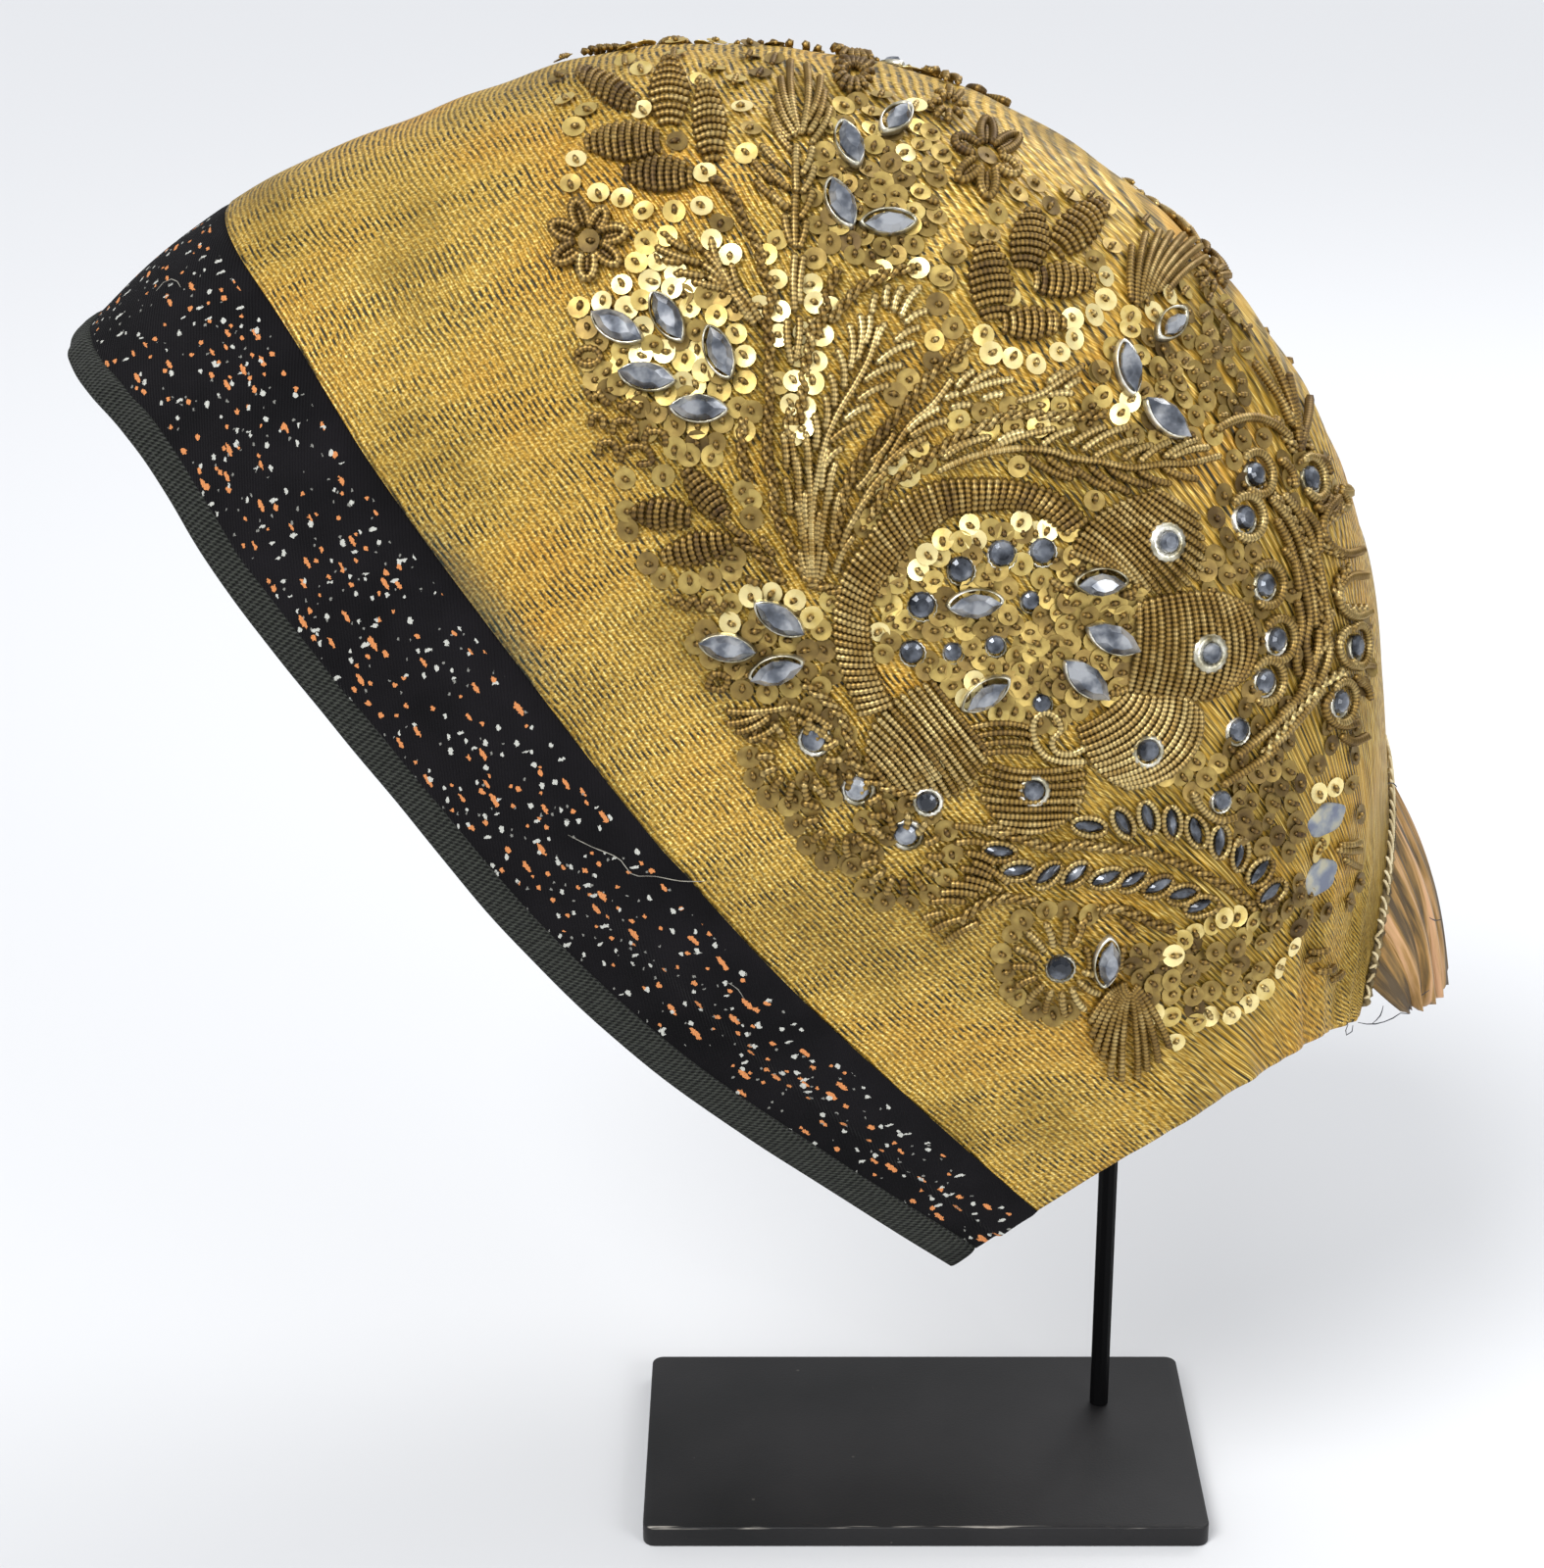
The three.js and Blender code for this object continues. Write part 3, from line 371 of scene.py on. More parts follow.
# Sequins by brightness: each is an x and y in the picture. The brightness becomes each
# sequin's tone, partly tarnish and partly painted highlight where the light catches it.
SEQUINS = {
    1.0: [
        (757, 111), (761, 159), (588, 163), (716, 212), (726, 246), (745, 261), (690, 280), (708, 289),
        (672, 267), (663, 287), (686, 295), (615, 309), (640, 315), (656, 334), (678, 359), (654, 362),
        (697, 390), (760, 364), (775, 314), (795, 318), (794, 343), (831, 310), (846, 316), (838, 343),
        (820, 340), (833, 369), (815, 364), (810, 389), (829, 391), (807, 413), (821, 416), (819, 437),
        (810, 444), (828, 291), (936, 275), (933, 111), (923, 158), (913, 473), (1141, 423), (1151, 409),
        (1010, 361), (1032, 366), (1056, 372), (1080, 360), (1094, 347), (1092, 327), (1114, 323),
        (1126, 307), (1127, 283), (1190, 303), (1174, 320), (1041, 532), (1056, 543), (1068, 540), (995, 551),
        (945, 565), (936, 581), (897, 644), (985, 712), (766, 607), (788, 604), (745, 635), (952, 784),
        (1341, 808), (1361, 803), (1315, 964), (1305, 987), (1290, 1009), (1271, 1022), (1253, 1033),
        (1235, 1038), (1195, 973), (993, 694), (655, 115),
    ],
    0.7: [
        (638, 63), (654, 73), (688, 58), (714, 85), (729, 71), (751, 83), (577, 103), (598, 113), (586, 131),
        (611, 198), (635, 203), (657, 216), (688, 217), (660, 249), (681, 242), (650, 269), (635, 291),
        (655, 307), (704, 314), (731, 323), (751, 341), (711, 359), (666, 353), (635, 358), (631, 371),
        (698, 368), (718, 378), (710, 394), (734, 398), (680, 402), (793, 246), (782, 261), (792, 286),
        (767, 510), (936, 456), (943, 472), (926, 485), (896, 495), (977, 430), (1008, 438), (1058, 435),
        (1059, 413), (1079, 415), (952, 348), (1002, 343), (1029, 304), (1124, 405), (1010, 540), (988, 535),
        (979, 552), (961, 550), (915, 595), (909, 618), (923, 632), (952, 593), (1041, 575), (1062, 590),
        (811, 612), (828, 629), (847, 613), (1089, 542), (1117, 579), (1161, 579), (1348, 857), (1342, 869),
        (1219, 1043), (1193, 1036), (1174, 1031), (1206, 959), (1219, 951), (1235, 943), (1245, 934),
        (1261, 934), (1278, 940), (846, 130), (890, 133), (936, 133), (938, 198), (932, 217), (1150, 337),
        (1132, 357), (1152, 323), (719, 178), (898, 278), (1162, 363), (1197, 1062),
    ],
    0.4: [
        (570, 81), (776, 76), (765, 58), (790, 62), (766, 133), (583, 189), (736, 228), (591, 314),
        (600, 335), (712, 338), (737, 430), (650, 402), (632, 392), (618, 381), (670, 421), (689, 434),
        (712, 436), (703, 464), (727, 465), (753, 416), (760, 390), (795, 391), (640, 521), (641, 540),
        (661, 574), (677, 485), (759, 500), (638, 488), (725, 589), (746, 581), (704, 594), (675, 589),
        (767, 528), (750, 569), (806, 653), (777, 666), (824, 662), (841, 663), (823, 684), (807, 699),
        (783, 706), (757, 703), (720, 643), (710, 656), (725, 671), (750, 681), (783, 648), (768, 643),
        (838, 642), (951, 369), (926, 388), (913, 403), (976, 369), (1001, 421), (1030, 416), (1111, 415),
        (1033, 436), (1081, 431), (1109, 433), (888, 529), (882, 538), (899, 99), (860, 110), (889, 116),
        (891, 151), (908, 168), (886, 175), (899, 189), (881, 194), (891, 206), (939, 150), (959, 159),
        (954, 184), (880, 242), (838, 174), (840, 156), (828, 203), (833, 231), (846, 249), (871, 262),
        (890, 265), (913, 262), (931, 251), (944, 232), (913, 213), (876, 219), (991, 241), (1017, 219),
        (1009, 239), (972, 261), (964, 287), (1037, 199), (959, 283), (956, 311), (971, 336), (1121, 380),
        (1115, 268), (1133, 252), (1090, 199), (1112, 200), (1126, 213), (1071, 211), (1055, 191),
        (1166, 226), (1248, 312), (1120, 380), (1170, 346), (1207, 297), (1210, 321), (1227, 323),
        (1225, 355), (1209, 347), (1194, 365), (1207, 369), (1179, 376), (1186, 386), (1231, 371),
        (1251, 358), (1268, 359), (1253, 376), (1265, 391), (1205, 408), (1228, 410), (1246, 405),
        (1218, 425), (1156, 443), (1179, 447), (1201, 441), (1164, 402), (1186, 399), (1038, 476),
        (1115, 511), (1141, 579), (933, 795), (912, 777), (915, 789), (954, 762), (1175, 1002), (1193, 998),
        (1214, 995), (1193, 1013), (1216, 1015), (1235, 1011), (1255, 1009), (1274, 1002), (1251, 990),
        (1285, 990), (1042, 936), (1032, 951), (1067, 926), (1087, 927), (1111, 933), (1267, 956),
        (1288, 960), (1021, 972), (1024, 990), (1029, 1008), (1037, 1016), (1053, 1029), (1074, 1036),
        (1090, 1027), (898, 607), (901, 666), (831, 265), (974, 260), (691, 146),
    ],
    0.25: [
        (1266, 450), (1286, 448), (1256, 470), (1266, 494), (1287, 495), (1246, 505), (1239, 528),
        (1249, 549), (1276, 564), (1272, 599), (1285, 621), (1277, 641), (1284, 656), (1267, 680),
        (1275, 705), (1268, 722), (1282, 740), (1252, 762), (1240, 778), (1262, 776), (1228, 792),
        (1216, 808), (1262, 800), (1282, 788), (1300, 772), (1312, 756), (1296, 818), (1318, 836),
        (1312, 868), (1320, 900), (1310, 926), (1328, 934), (1350, 930), (1300, 942), (1308, 470),
        (1310, 490), (1318, 514), (1352, 470), (1346, 510), (1324, 470), (1316, 604), (1318, 640),
        (1316, 670), (1310, 720), (1352, 740), (1390, 640), (1396, 680), (1388, 700), (1380, 740),
        (1356, 760), (1340, 780), (1380, 770), (1376, 800), (1384, 830), (1386, 900), (1376, 920),
    ],
}

# Patches filled with sequins: tone, spacing in pixels and the corners of the patch. The tone
# is partly tarnish and partly painted highlight.
SEQUIN_PATCHES = [
    (0.45, 17, [
        (890, 590), (930, 560), (985, 545), (1060, 540), (1095, 560), (1150, 580), (1170, 600), (1165, 640),
        (1150, 680), (1140, 705), (1115, 730), (1060, 745), (1000, 735), (960, 700), (905, 670),
    ]),
    (0.35, 19, [(1160, 330), (1250, 330), (1280, 400), (1250, 450), (1150, 450), (1130, 400)]),
    (0.3, 21, [(1240, 460), (1280, 440), (1262, 520), (1280, 560), (1262, 700), (1230, 760), (1225, 620)]),
    (0.3, 20, [(1160, 300), (1230, 290), (1290, 350), (1262, 420), (1210, 440), (1190, 380)]),
    (0.25, 19, [(1250, 790), (1320, 770), (1330, 860), (1300, 880), (1255, 850)]),
    (0.2, 19, [(1270, 930), (1330, 900), (1350, 940), (1300, 970), (1270, 960)]),
    (0.2, 19, [(1150, 960), (1260, 950), (1270, 1000), (1200, 1040), (1150, 1010)]),
    (0.35, 19, [(830, 90), (950, 110), (960, 240), (880, 270), (825, 240)]),
    (0.4, 20, [(600, 300), (760, 300), (770, 440), (700, 470), (600, 400)]),
    (0.4, 20, [(720, 610), (850, 600), (860, 690), (800, 720), (715, 670)]),
    (0.4, 20, [(1140, 750), (1220, 740), (1230, 790), (1180, 810)]),
    (0.4, 19, [(900, 745), (960, 750), (965, 800), (900, 800)]),
]

# Flowers of open purl loops: middle, then loop ends.
LOOP_FLOWERS = [
    ((601.5, 246.6), [(588, 208), (618, 216), (640, 238), (632, 270), (600, 286), (568, 268), (564, 232)]),
    ((1005, 162), [(1004, 126), (1036, 144), (1036, 180), (1006, 204), (976, 186), (972, 146)]),
    ((1358, 500), [(1340, 520), (1352, 526), (1368, 520), (1372, 504)]),
]

# Small wheels of purl: middle, reach in pixels and number of spokes.
WHEELS = table("x y reach spokes", [(870, 78, 21, 14), (966, 111, 19, 8), (1233, 284, 17, 8)])

# Suns: a stone in a toothed claw with rays of purl and a sequin at each tip.
SUNS = table(
    "x y first last rays start stop",
    [
        (816, 771, 24, 45, 14, 0, 360), (861, 828, 24, 44, 13, 0, 360), (920, 870, 24, 44, 13, 0, 360),
        (1080, 984, 22, 50, 13, 10, 300),
    ],
)

# Wheat ears: small pointed stones between two purl arcs, and the turn of each in degrees.
EARS = table(
    "x y turn",
    [
        (1110, 842, 5), (1144, 838, 60), (1170, 833, 75), (1195, 839, 85), (1219, 847, 75), (1241, 857, 95),
        (1263, 871, 100), (1284, 889, -55), (1295, 910, -45), (1019, 867, 3), (1038, 886, -10),
        (1068, 891, -35), (1097, 892, -40), (1127, 894, -25), (1154, 896, -30), (1180, 903, -25),
        (1206, 912, -10), (1224, 924, -25),
    ],
)

# Places that the sequins' purls point to.
HEARTS = [
    (672, 140), (742, 300), (704, 340), (604, 247), (1005, 162), (1062, 268), (1040, 640), (720, 545),
    (880, 180), (785, 650), (1170, 390), (1126, 970), (1291, 600), (1240, 980), (1080, 984), (1350, 860),
]

# Round stones: place on the cloth as in the solids, stone radius, foil ring width, glass tint and lift.
ROUND_STONES = table(
    "station across radius foil tint lift",
    [
        (0.364, 0.647, 2.3, 0.35, 0.7, 0.0), (0.397, 0.636, 2.4, 0.35, 0.6, 0.0),
        (0.427, 0.633, 2.3, 0.35, 0.6, 0.0), (0.327, 0.669, 2.4, 0.3, 0.8, 0.0),
        (0.305, 0.698, 2.1, 0.3, 0.9, 0.0), (0.527, 0.603, 2.0, 1.5, 0.2, 1.3),
        (0.544, 0.692, 2.0, 1.5, 0.3, 1.3), (0.457, 0.78, 2.1, 0.9, 0.7, 1.2),
        (0.34, 0.799, 2.0, 0.9, 0.8, 1.0), (0.259, 0.786, 2.0, 0.7, 0.8, 1.1),
        (0.216, 0.727, 2.3, 0.8, 0.2, 0.0), (0.221, 0.764, 2.3, 0.8, 0.1, 0.0),
        (0.231, 0.8, 2.2, 0.8, 0.2, 0.0), (0.622, 0.452, 2.2, 0.6, 0.5, 0.0),
        (0.606, 0.523, 2.2, 0.6, 0.5, 0.0), (0.618, 0.585, 2.2, 0.6, 0.4, 0.0),
        (0.624, 0.638, 2.2, 0.6, 0.3, 0.0), (0.604, 0.692, 2.2, 0.6, 0.4, 0.0),
        (0.562, 0.752, 2.1, 0.6, 0.5, 0.0)
    ]
)

# Small round stones that only the picture gives.
SMALL_STONES = table(
    "x y radius foil tint",
    [
        (1050, 612, 1.7, 0.3, 0.5), (971, 664, 1.7, 0.3, 0.4), (1014, 657, 1.7, 0.3, 0.5),
        (1062, 717, 1.7, 0.3, 0.5), (1334, 489, 2.4, 0.4, 0.8), (1380, 659, 2.2, 0.4, 0.7),
        (1364, 716, 2.2, 0.7, 0.5), (1242, 815, 1.8, 0.4, 0.4), (1080, 984, 2.4, 0.4, 0.95),
    ],
)

# Worn foil discs without their glass: x, y, half width and half height in millimetres.
WORN_DISCS = table("x y wide high", [(1352, 836, 5.6, 3.0), (1347, 895, 5.0, 3.4)])


# Colour and nodes


def linear(code):
    """An sRGB hex colour as linear RGBA: c / 12.92 when dark, else ((c + 0.055) / 1.055) ** 2.4."""
    shares = [int(code[k : k + 2], 16) / 255 for k in (1, 3, 5)]
    return (*[c / 12.92 if c <= 0.04045 else ((c + 0.055) / 1.055) ** 2.4 for c in shares], 1.0)


def add_node(tree, kind, inputs=None, stops=None, **settings):
    """Adds a node, sets its settings and a ramp's stops, then fills inputs with values or links.

    An input's key is its name or number, and a list fills the first ones. A node given as a value
    is linked by its first output.
    """
    made = tree.nodes.new("ShaderNode" + kind)
    for name, value in settings.items():
        setattr(made, name, value)
    while stops and len(made.color_ramp.elements) < len(stops):
        made.color_ramp.elements.new(0.5)
    for k, (place, colour) in enumerate(stops or []):
        made.color_ramp.elements[k].position = place
        made.color_ramp.elements[k].color = colour
    for key, value in enumerate(inputs) if isinstance(inputs, list) else (inputs or {}).items():
        if isinstance(value, bpy.types.Node):
            value = value.outputs[0]
        if isinstance(value, bpy.types.NodeSocket):
            tree.links.new(value, made.inputs[key])
        else:
            made.inputs[key].default_value = value
    return made


def colour_property(name, description, code):
    """A colour of the panel, from its sRGB hex code."""
    return bpy.props.FloatVectorProperty(
        name=name, description=description, size=4, subtype="COLOR", default=linear(code)
    )


def length_property(name, description, length):
    """A length of the panel, from its millimetres."""
    return bpy.props.FloatProperty(name=name, description=description, default=length * MM, unit="LENGTH")


def new_material(name):
    """An empty node material; returns the material and its tree."""
    material = bpy.data.materials.new(name)
    material.use_nodes = True
    material.node_tree.nodes.clear()
    return material, material.node_tree


# The cloth's surface


def curve_through(rows, key, x):
    """Cubic Hermite curve through the rows: h00 p0 + h10 m0 + h01 p1 + h11 m1 between two keys."""
    keys = rows[key]
    names = [name for name in rows if name != key]
    values = np.stack([rows[name] for name in names], axis=1)
    slopes = np.gradient(values, keys, axis=0)
    x = np.asarray(x, float)
    i = np.clip(np.searchsorted(keys, x, side="right") - 1, 0, len(keys) - 2)
    span = (keys[i + 1] - keys[i])[..., None]
    u = (x - keys[i])[..., None] / span
    start = (2 * u**3 - 3 * u**2 + 1) * values[i] + (u**3 - 2 * u**2 + u) * span * slopes[i]
    end = (3 * u**2 - 2 * u**3) * values[i + 1] + (u**3 - u**2) * span * slopes[i + 1]
    return dict(zip(names, np.moveaxis(start + end, -1, 0)))


def coif_frame(back, side, up):
    """Turns the coif's own back, side and up lengths by its tilt and puts them in the frame."""
    cos, sin = math.cos(COIF_TILT), math.sin(COIF_TILT)
    return np.stack([back * cos - up * sin, side, back * sin + up * cos], axis=-1) + COIF_PLACE


def cloth_lengths(station, across):
    """Back, side and up of the outer cloth face.

    turn = (1 - |across|) pi / 2, rise = sin(turn) ** (2 / r) and reach = cos(turn) ** (2 / r), so
    each section is half a superellipse from hem to ridge that draws in by the tuck at its hem.
    """
    station, across = np.broadcast_arrays(np.asarray(station, float), np.asarray(across, float))
    row = curve_through(SECTIONS, "station", station)
    turn = (1 - np.abs(across)) * np.pi / 2
    rise = np.clip(np.sin(turn), 0, None) ** (2 / SECTION_ROUNDNESS)
    reach = np.clip(np.cos(turn), 0, None) ** (2 / SECTION_ROUNDNESS)
    side = reach * (1 - row["tuck"] * (1 - rise) ** 2)
    bow = FACE_BOW * row["bow"] * curve_through(FACE_BOW_LINE, "rise", rise)["offset"]
    back = CROWN_DEPTH * (row["hem_back"] + (row["ridge_back"] - row["hem_back"]) * rise) + bow
    up = FACE_HEIGHT * (row["hem_up"] + (row["ridge_up"] - row["hem_up"]) * rise)
    return back, np.sign(across) * HALF_WIDTH * row["width"] * side, up


def cloth_point(station, across):
    """Points of the outer cloth face in the frame."""
    return coif_frame(*cloth_lengths(station, across))


def unit(vectors):
    """Vectors of length one."""
    return vectors / np.maximum(np.linalg.norm(vectors, axis=-1, keepdims=True), 1e-12)


def summed(steps, axis):
    """Running sum of steps along an axis, from zero."""
    return np.concatenate(
        [np.zeros_like(np.take(steps, [0], axis=axis)), np.cumsum(steps, axis=axis)], axis=axis
    )


def run_along(points):
    """Length along a line of points, at each of them; a grid gives it down each column."""
    return summed(np.linalg.norm(np.diff(points, axis=0), axis=-1), 0)


def run_from_ridge(points):
    """Length along each row of a grid of points, from its middle."""
    over = summed(np.linalg.norm(np.diff(points, axis=1), axis=-1), 1)
    return over - over[:, over.shape[1] // 2][:, None]


def resampled(values, run, x):
    """Values known at the lengths run, at the lengths x."""
    return np.stack([np.interp(x, run, values[:, k]) for k in range(values.shape[1])], axis=-1)


def cloth_axes(station, across):
    """Directions back along the stations, sideways across and out, and the speed in mm per station."""
    step = 0.004
    station, across = np.broadcast_arrays(np.asarray(station, float), np.asarray(across, float))
    low, high = np.maximum(station - step, 0), np.minimum(station + step, 1)
    left, right = np.maximum(across - step, -1), np.minimum(across + step, 1)
    back = cloth_point(high, across) - cloth_point(low, across)
    speed = np.linalg.norm(back, axis=-1) / (high - low)
    back = unit(back)
    sideways = unit(cloth_point(station, right) - cloth_point(station, left))
    return back, sideways, unit(np.cross(back, sideways)), speed


def station_after(station, across, length):
    """The station that lies a given length behind another one."""
    return station + length / cloth_axes(station, across)[3]


def cord_frame(middle, out):
    """Tangent of a line of points, the direction out made square to it, and the direction sideways."""
    along = unit(np.gradient(middle, axis=0))
    side = unit(np.cross(along, out))
    return along, unit(np.cross(side, along)), side


# Meshes


def add_object(name, data):
    """A new object of the scene that shows the data."""
    made = bpy.data.objects.new(name, data)
    bpy.context.scene.collection.objects.link(made)
    return made


def build_mesh(name, points, faces, material, uv=None, attributes=None, parts=None, smooth=True):
    """A mesh object from points in millimetres and groups of faces with equal corner counts.

    uv is one pair for each point. parts gives a second material's faces as a mask.
    """
    groups = [np.asarray(group, np.int32) for group in faces if len(group)]
    corners = np.concatenate([group.ravel() for group in groups])
    counts = np.concatenate([np.full(len(group), group.shape[1], np.int32) for group in groups])
    starts = np.concatenate([[0], np.cumsum(counts)[:-1]]).astype(np.int32)
    mesh = bpy.data.meshes.new(name)
    mesh.vertices.add(len(points))
    mesh.vertices.foreach_set("co", (np.asarray(points) * MM).astype(np.float32).ravel())
    mesh.loops.add(len(corners))
    mesh.loops.foreach_set("vertex_index", corners)
    mesh.polygons.add(len(counts))
    mesh.polygons.foreach_set("loop_start", starts)
    mesh.polygons.foreach_set("use_smooth", np.full(len(counts), smooth))
    materials = material if isinstance(material, list) else [material]
    for each in materials:
        mesh.materials.append(each)
    if parts is not None:
        mesh.polygons.foreach_set("material_index", np.asarray(parts, np.int32))
    mesh.update(calc_edges=True)
    if uv is not None:
        layer = mesh.uv_layers.new(name="cloth")
        layer.uv.foreach_set("vector", np.asarray(uv, np.float32)[corners].ravel())
    for key, values in (attributes or {}).items():
        layer = mesh.attributes.new(key, "FLOAT", "POINT")
        layer.data.foreach_set("value", np.asarray(values, np.float32))
    mesh.validate()
    return add_object(name, mesh)


def settle(made, slot, *nodes):
    """The piece rides on the one body and stands for some nodes; the slot is not used."""
    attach(made, "root")
    if nodes:
        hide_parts(*nodes)


def grid_faces(rows, columns, wrap=False, start=0):
    """Corner numbers of the quads of a grid of points stored row by row, closed across if wrapped."""
    i, j = np.meshgrid(np.arange(rows - 1), np.arange(columns if wrap else columns - 1), indexing="ij")
    after = (j + 1) % columns
    quads = [i * columns + j, i * columns + after, (i + 1) * columns + after, (i + 1) * columns + j]
    return np.stack(quads, axis=-1).reshape(-1, 4) + start


def sheet_loop(outer, inner):
    """Closes a sheet's two faces into loops across, with round rolled edges.

    The roll between the faces is centre + half cos(angle) + half sin(angle) away from the sheet.
    """
    angle = np.linspace(0, np.pi, EDGE_ROLL + 2)[1:-1][None, :, None]

    def edge(last, before, under):
        centre, half = (last + under) / 2, (last - under) / 2
        away = unit(last - before) * np.linalg.norm(half, axis=-1, keepdims=True)
        return centre[:, None] + half[:, None] * np.cos(angle) + away[:, None] * np.sin(angle)

    far = edge(outer[:, -1], outer[:, -2], inner[:, -1])
    near = edge(outer[:, 0], outer[:, 1], inner[:, 0])[:, ::-1]
    return np.concatenate([outer, far, inner[:, ::-1], near], axis=1)


def sheet_uv(across, along):
    """Cloth coordinates for the points of a looped sheet; the rolled edges take their edge's value."""
    pair = np.stack(np.broadcast_arrays(across, along), axis=-1)
    far, near = (np.repeat(edge, EDGE_ROLL, axis=1) for edge in (pair[:, -1:], pair[:, :1]))
    return np.concatenate([pair, far, pair[:, ::-1], near], axis=1).reshape(-1, 2)


def sheet_faces(rows, columns):
    """Faces of a looped sheet and of the strips that close its first and last rows."""
    loop = 2 * (columns + EDGE_ROLL)
    body = grid_faces(rows, loop, wrap=True)
    j = np.arange(columns - 1)
    under = columns + EDGE_ROLL + (columns - 1 - j)
    first = np.stack([j + 1, j, under, under - 1], axis=-1)
    last = np.stack([j, j + 1, under - 1, under], axis=-1) + (rows - 1) * loop
    return body, first, last


def outward(points, faces):
    """The faces, turned round if the closed shape they make has a negative volume."""
    quads = np.concatenate([group for group in faces if group.shape[1] == 4])
    a, b, c, d = (points[quads[:, k]] for k in range(4))
    volume = np.einsum("ij,ij->", np.cross(a, b), c) + np.einsum("ij,ij->", np.cross(a, c), d)
    return [group[:, ::-1] for group in faces] if volume < 0 else list(faces)


def sheet_mesh(name, outer, inner, material, uv, **more):
    """A cloth piece made of its outer and inner points, closed round its edges."""
    points = sheet_loop(outer, inner).reshape(-1, 3)
    faces = outward(points, sheet_faces(*outer.shape[:2]))
    return build_mesh(name, points, faces, material, uv=uv, **more)


# Finding places of the picture on the cloth


def to_picture(points):
    """Where points in the frame fall in the picture: focal length times side and height over depth."""
    away = points - CAMERA_PLACE
    cos, sin = math.cos(CAMERA_PITCH), math.sin(CAMERA_PITCH)
    depth = away[..., 1] * cos - away[..., 2] * sin
    height = away[..., 1] * sin + away[..., 2] * cos
    across = PICTURE[0] / 2 + CAMERA_FOCAL * away[..., 0] / depth
    return np.stack([across, PICTURE[1] / 2 - CAMERA_FOCAL * height / depth], axis=-1)


def find_on_cloth(pixels):
    """Stations and across values that show at the picture's places.

    The nearest place of a coarse grid is refined by Newton steps on the two picture coordinates.
    """
    pixels = np.asarray(pixels, float).reshape(-1, 2)
    t, a = np.meshgrid(np.linspace(0.02, 0.995, 98), np.linspace(-0.995, -0.012, 90), indexing="ij")
    grid = cloth_point(t, a)
    facing = np.einsum("ijk,ijk->ij", cloth_axes(t, a)[2], unit(CAMERA_PLACE - grid)) > 0.03
    t, a, seen = t[facing], a[facing], to_picture(grid[facing])
    # In parts of about 400 places, because each part is held against every place of the grid at once.
    parts = np.array_split(pixels, len(pixels) // 400 + 1)
    nearest = [np.argmin(((part[:, None] - seen[None]) ** 2).sum(-1), axis=1) for part in parts]
    nearest = np.concatenate(nearest)
    station, across = t[nearest], a[nearest]
    step = 1e-4
    for _ in range(NEWTON_STEPS):
        here = to_picture(cloth_point(station, across))
        by_station = (to_picture(cloth_point(station + step, across)) - here) / step
        by_across = (to_picture(cloth_point(station, across + step)) - here) / step
        miss = pixels - here
        size = by_station[:, 0] * by_across[:, 1] - by_station[:, 1] * by_across[:, 0]
        size = np.where(np.abs(size) < 1e3, 1e3, size)
        move_t = (miss[:, 0] * by_across[:, 1] - miss[:, 1] * by_across[:, 0]) / size
        move_a = (by_station[:, 0] * miss[:, 1] - by_station[:, 1] * miss[:, 0]) / size
        station = np.clip(station + np.clip(move_t, -0.02, 0.02), 0.02, 0.998)
        across = np.clip(across + np.clip(move_a, -0.02, 0.02), -0.998, -0.004)
    return station, across


# Materials of the cloth


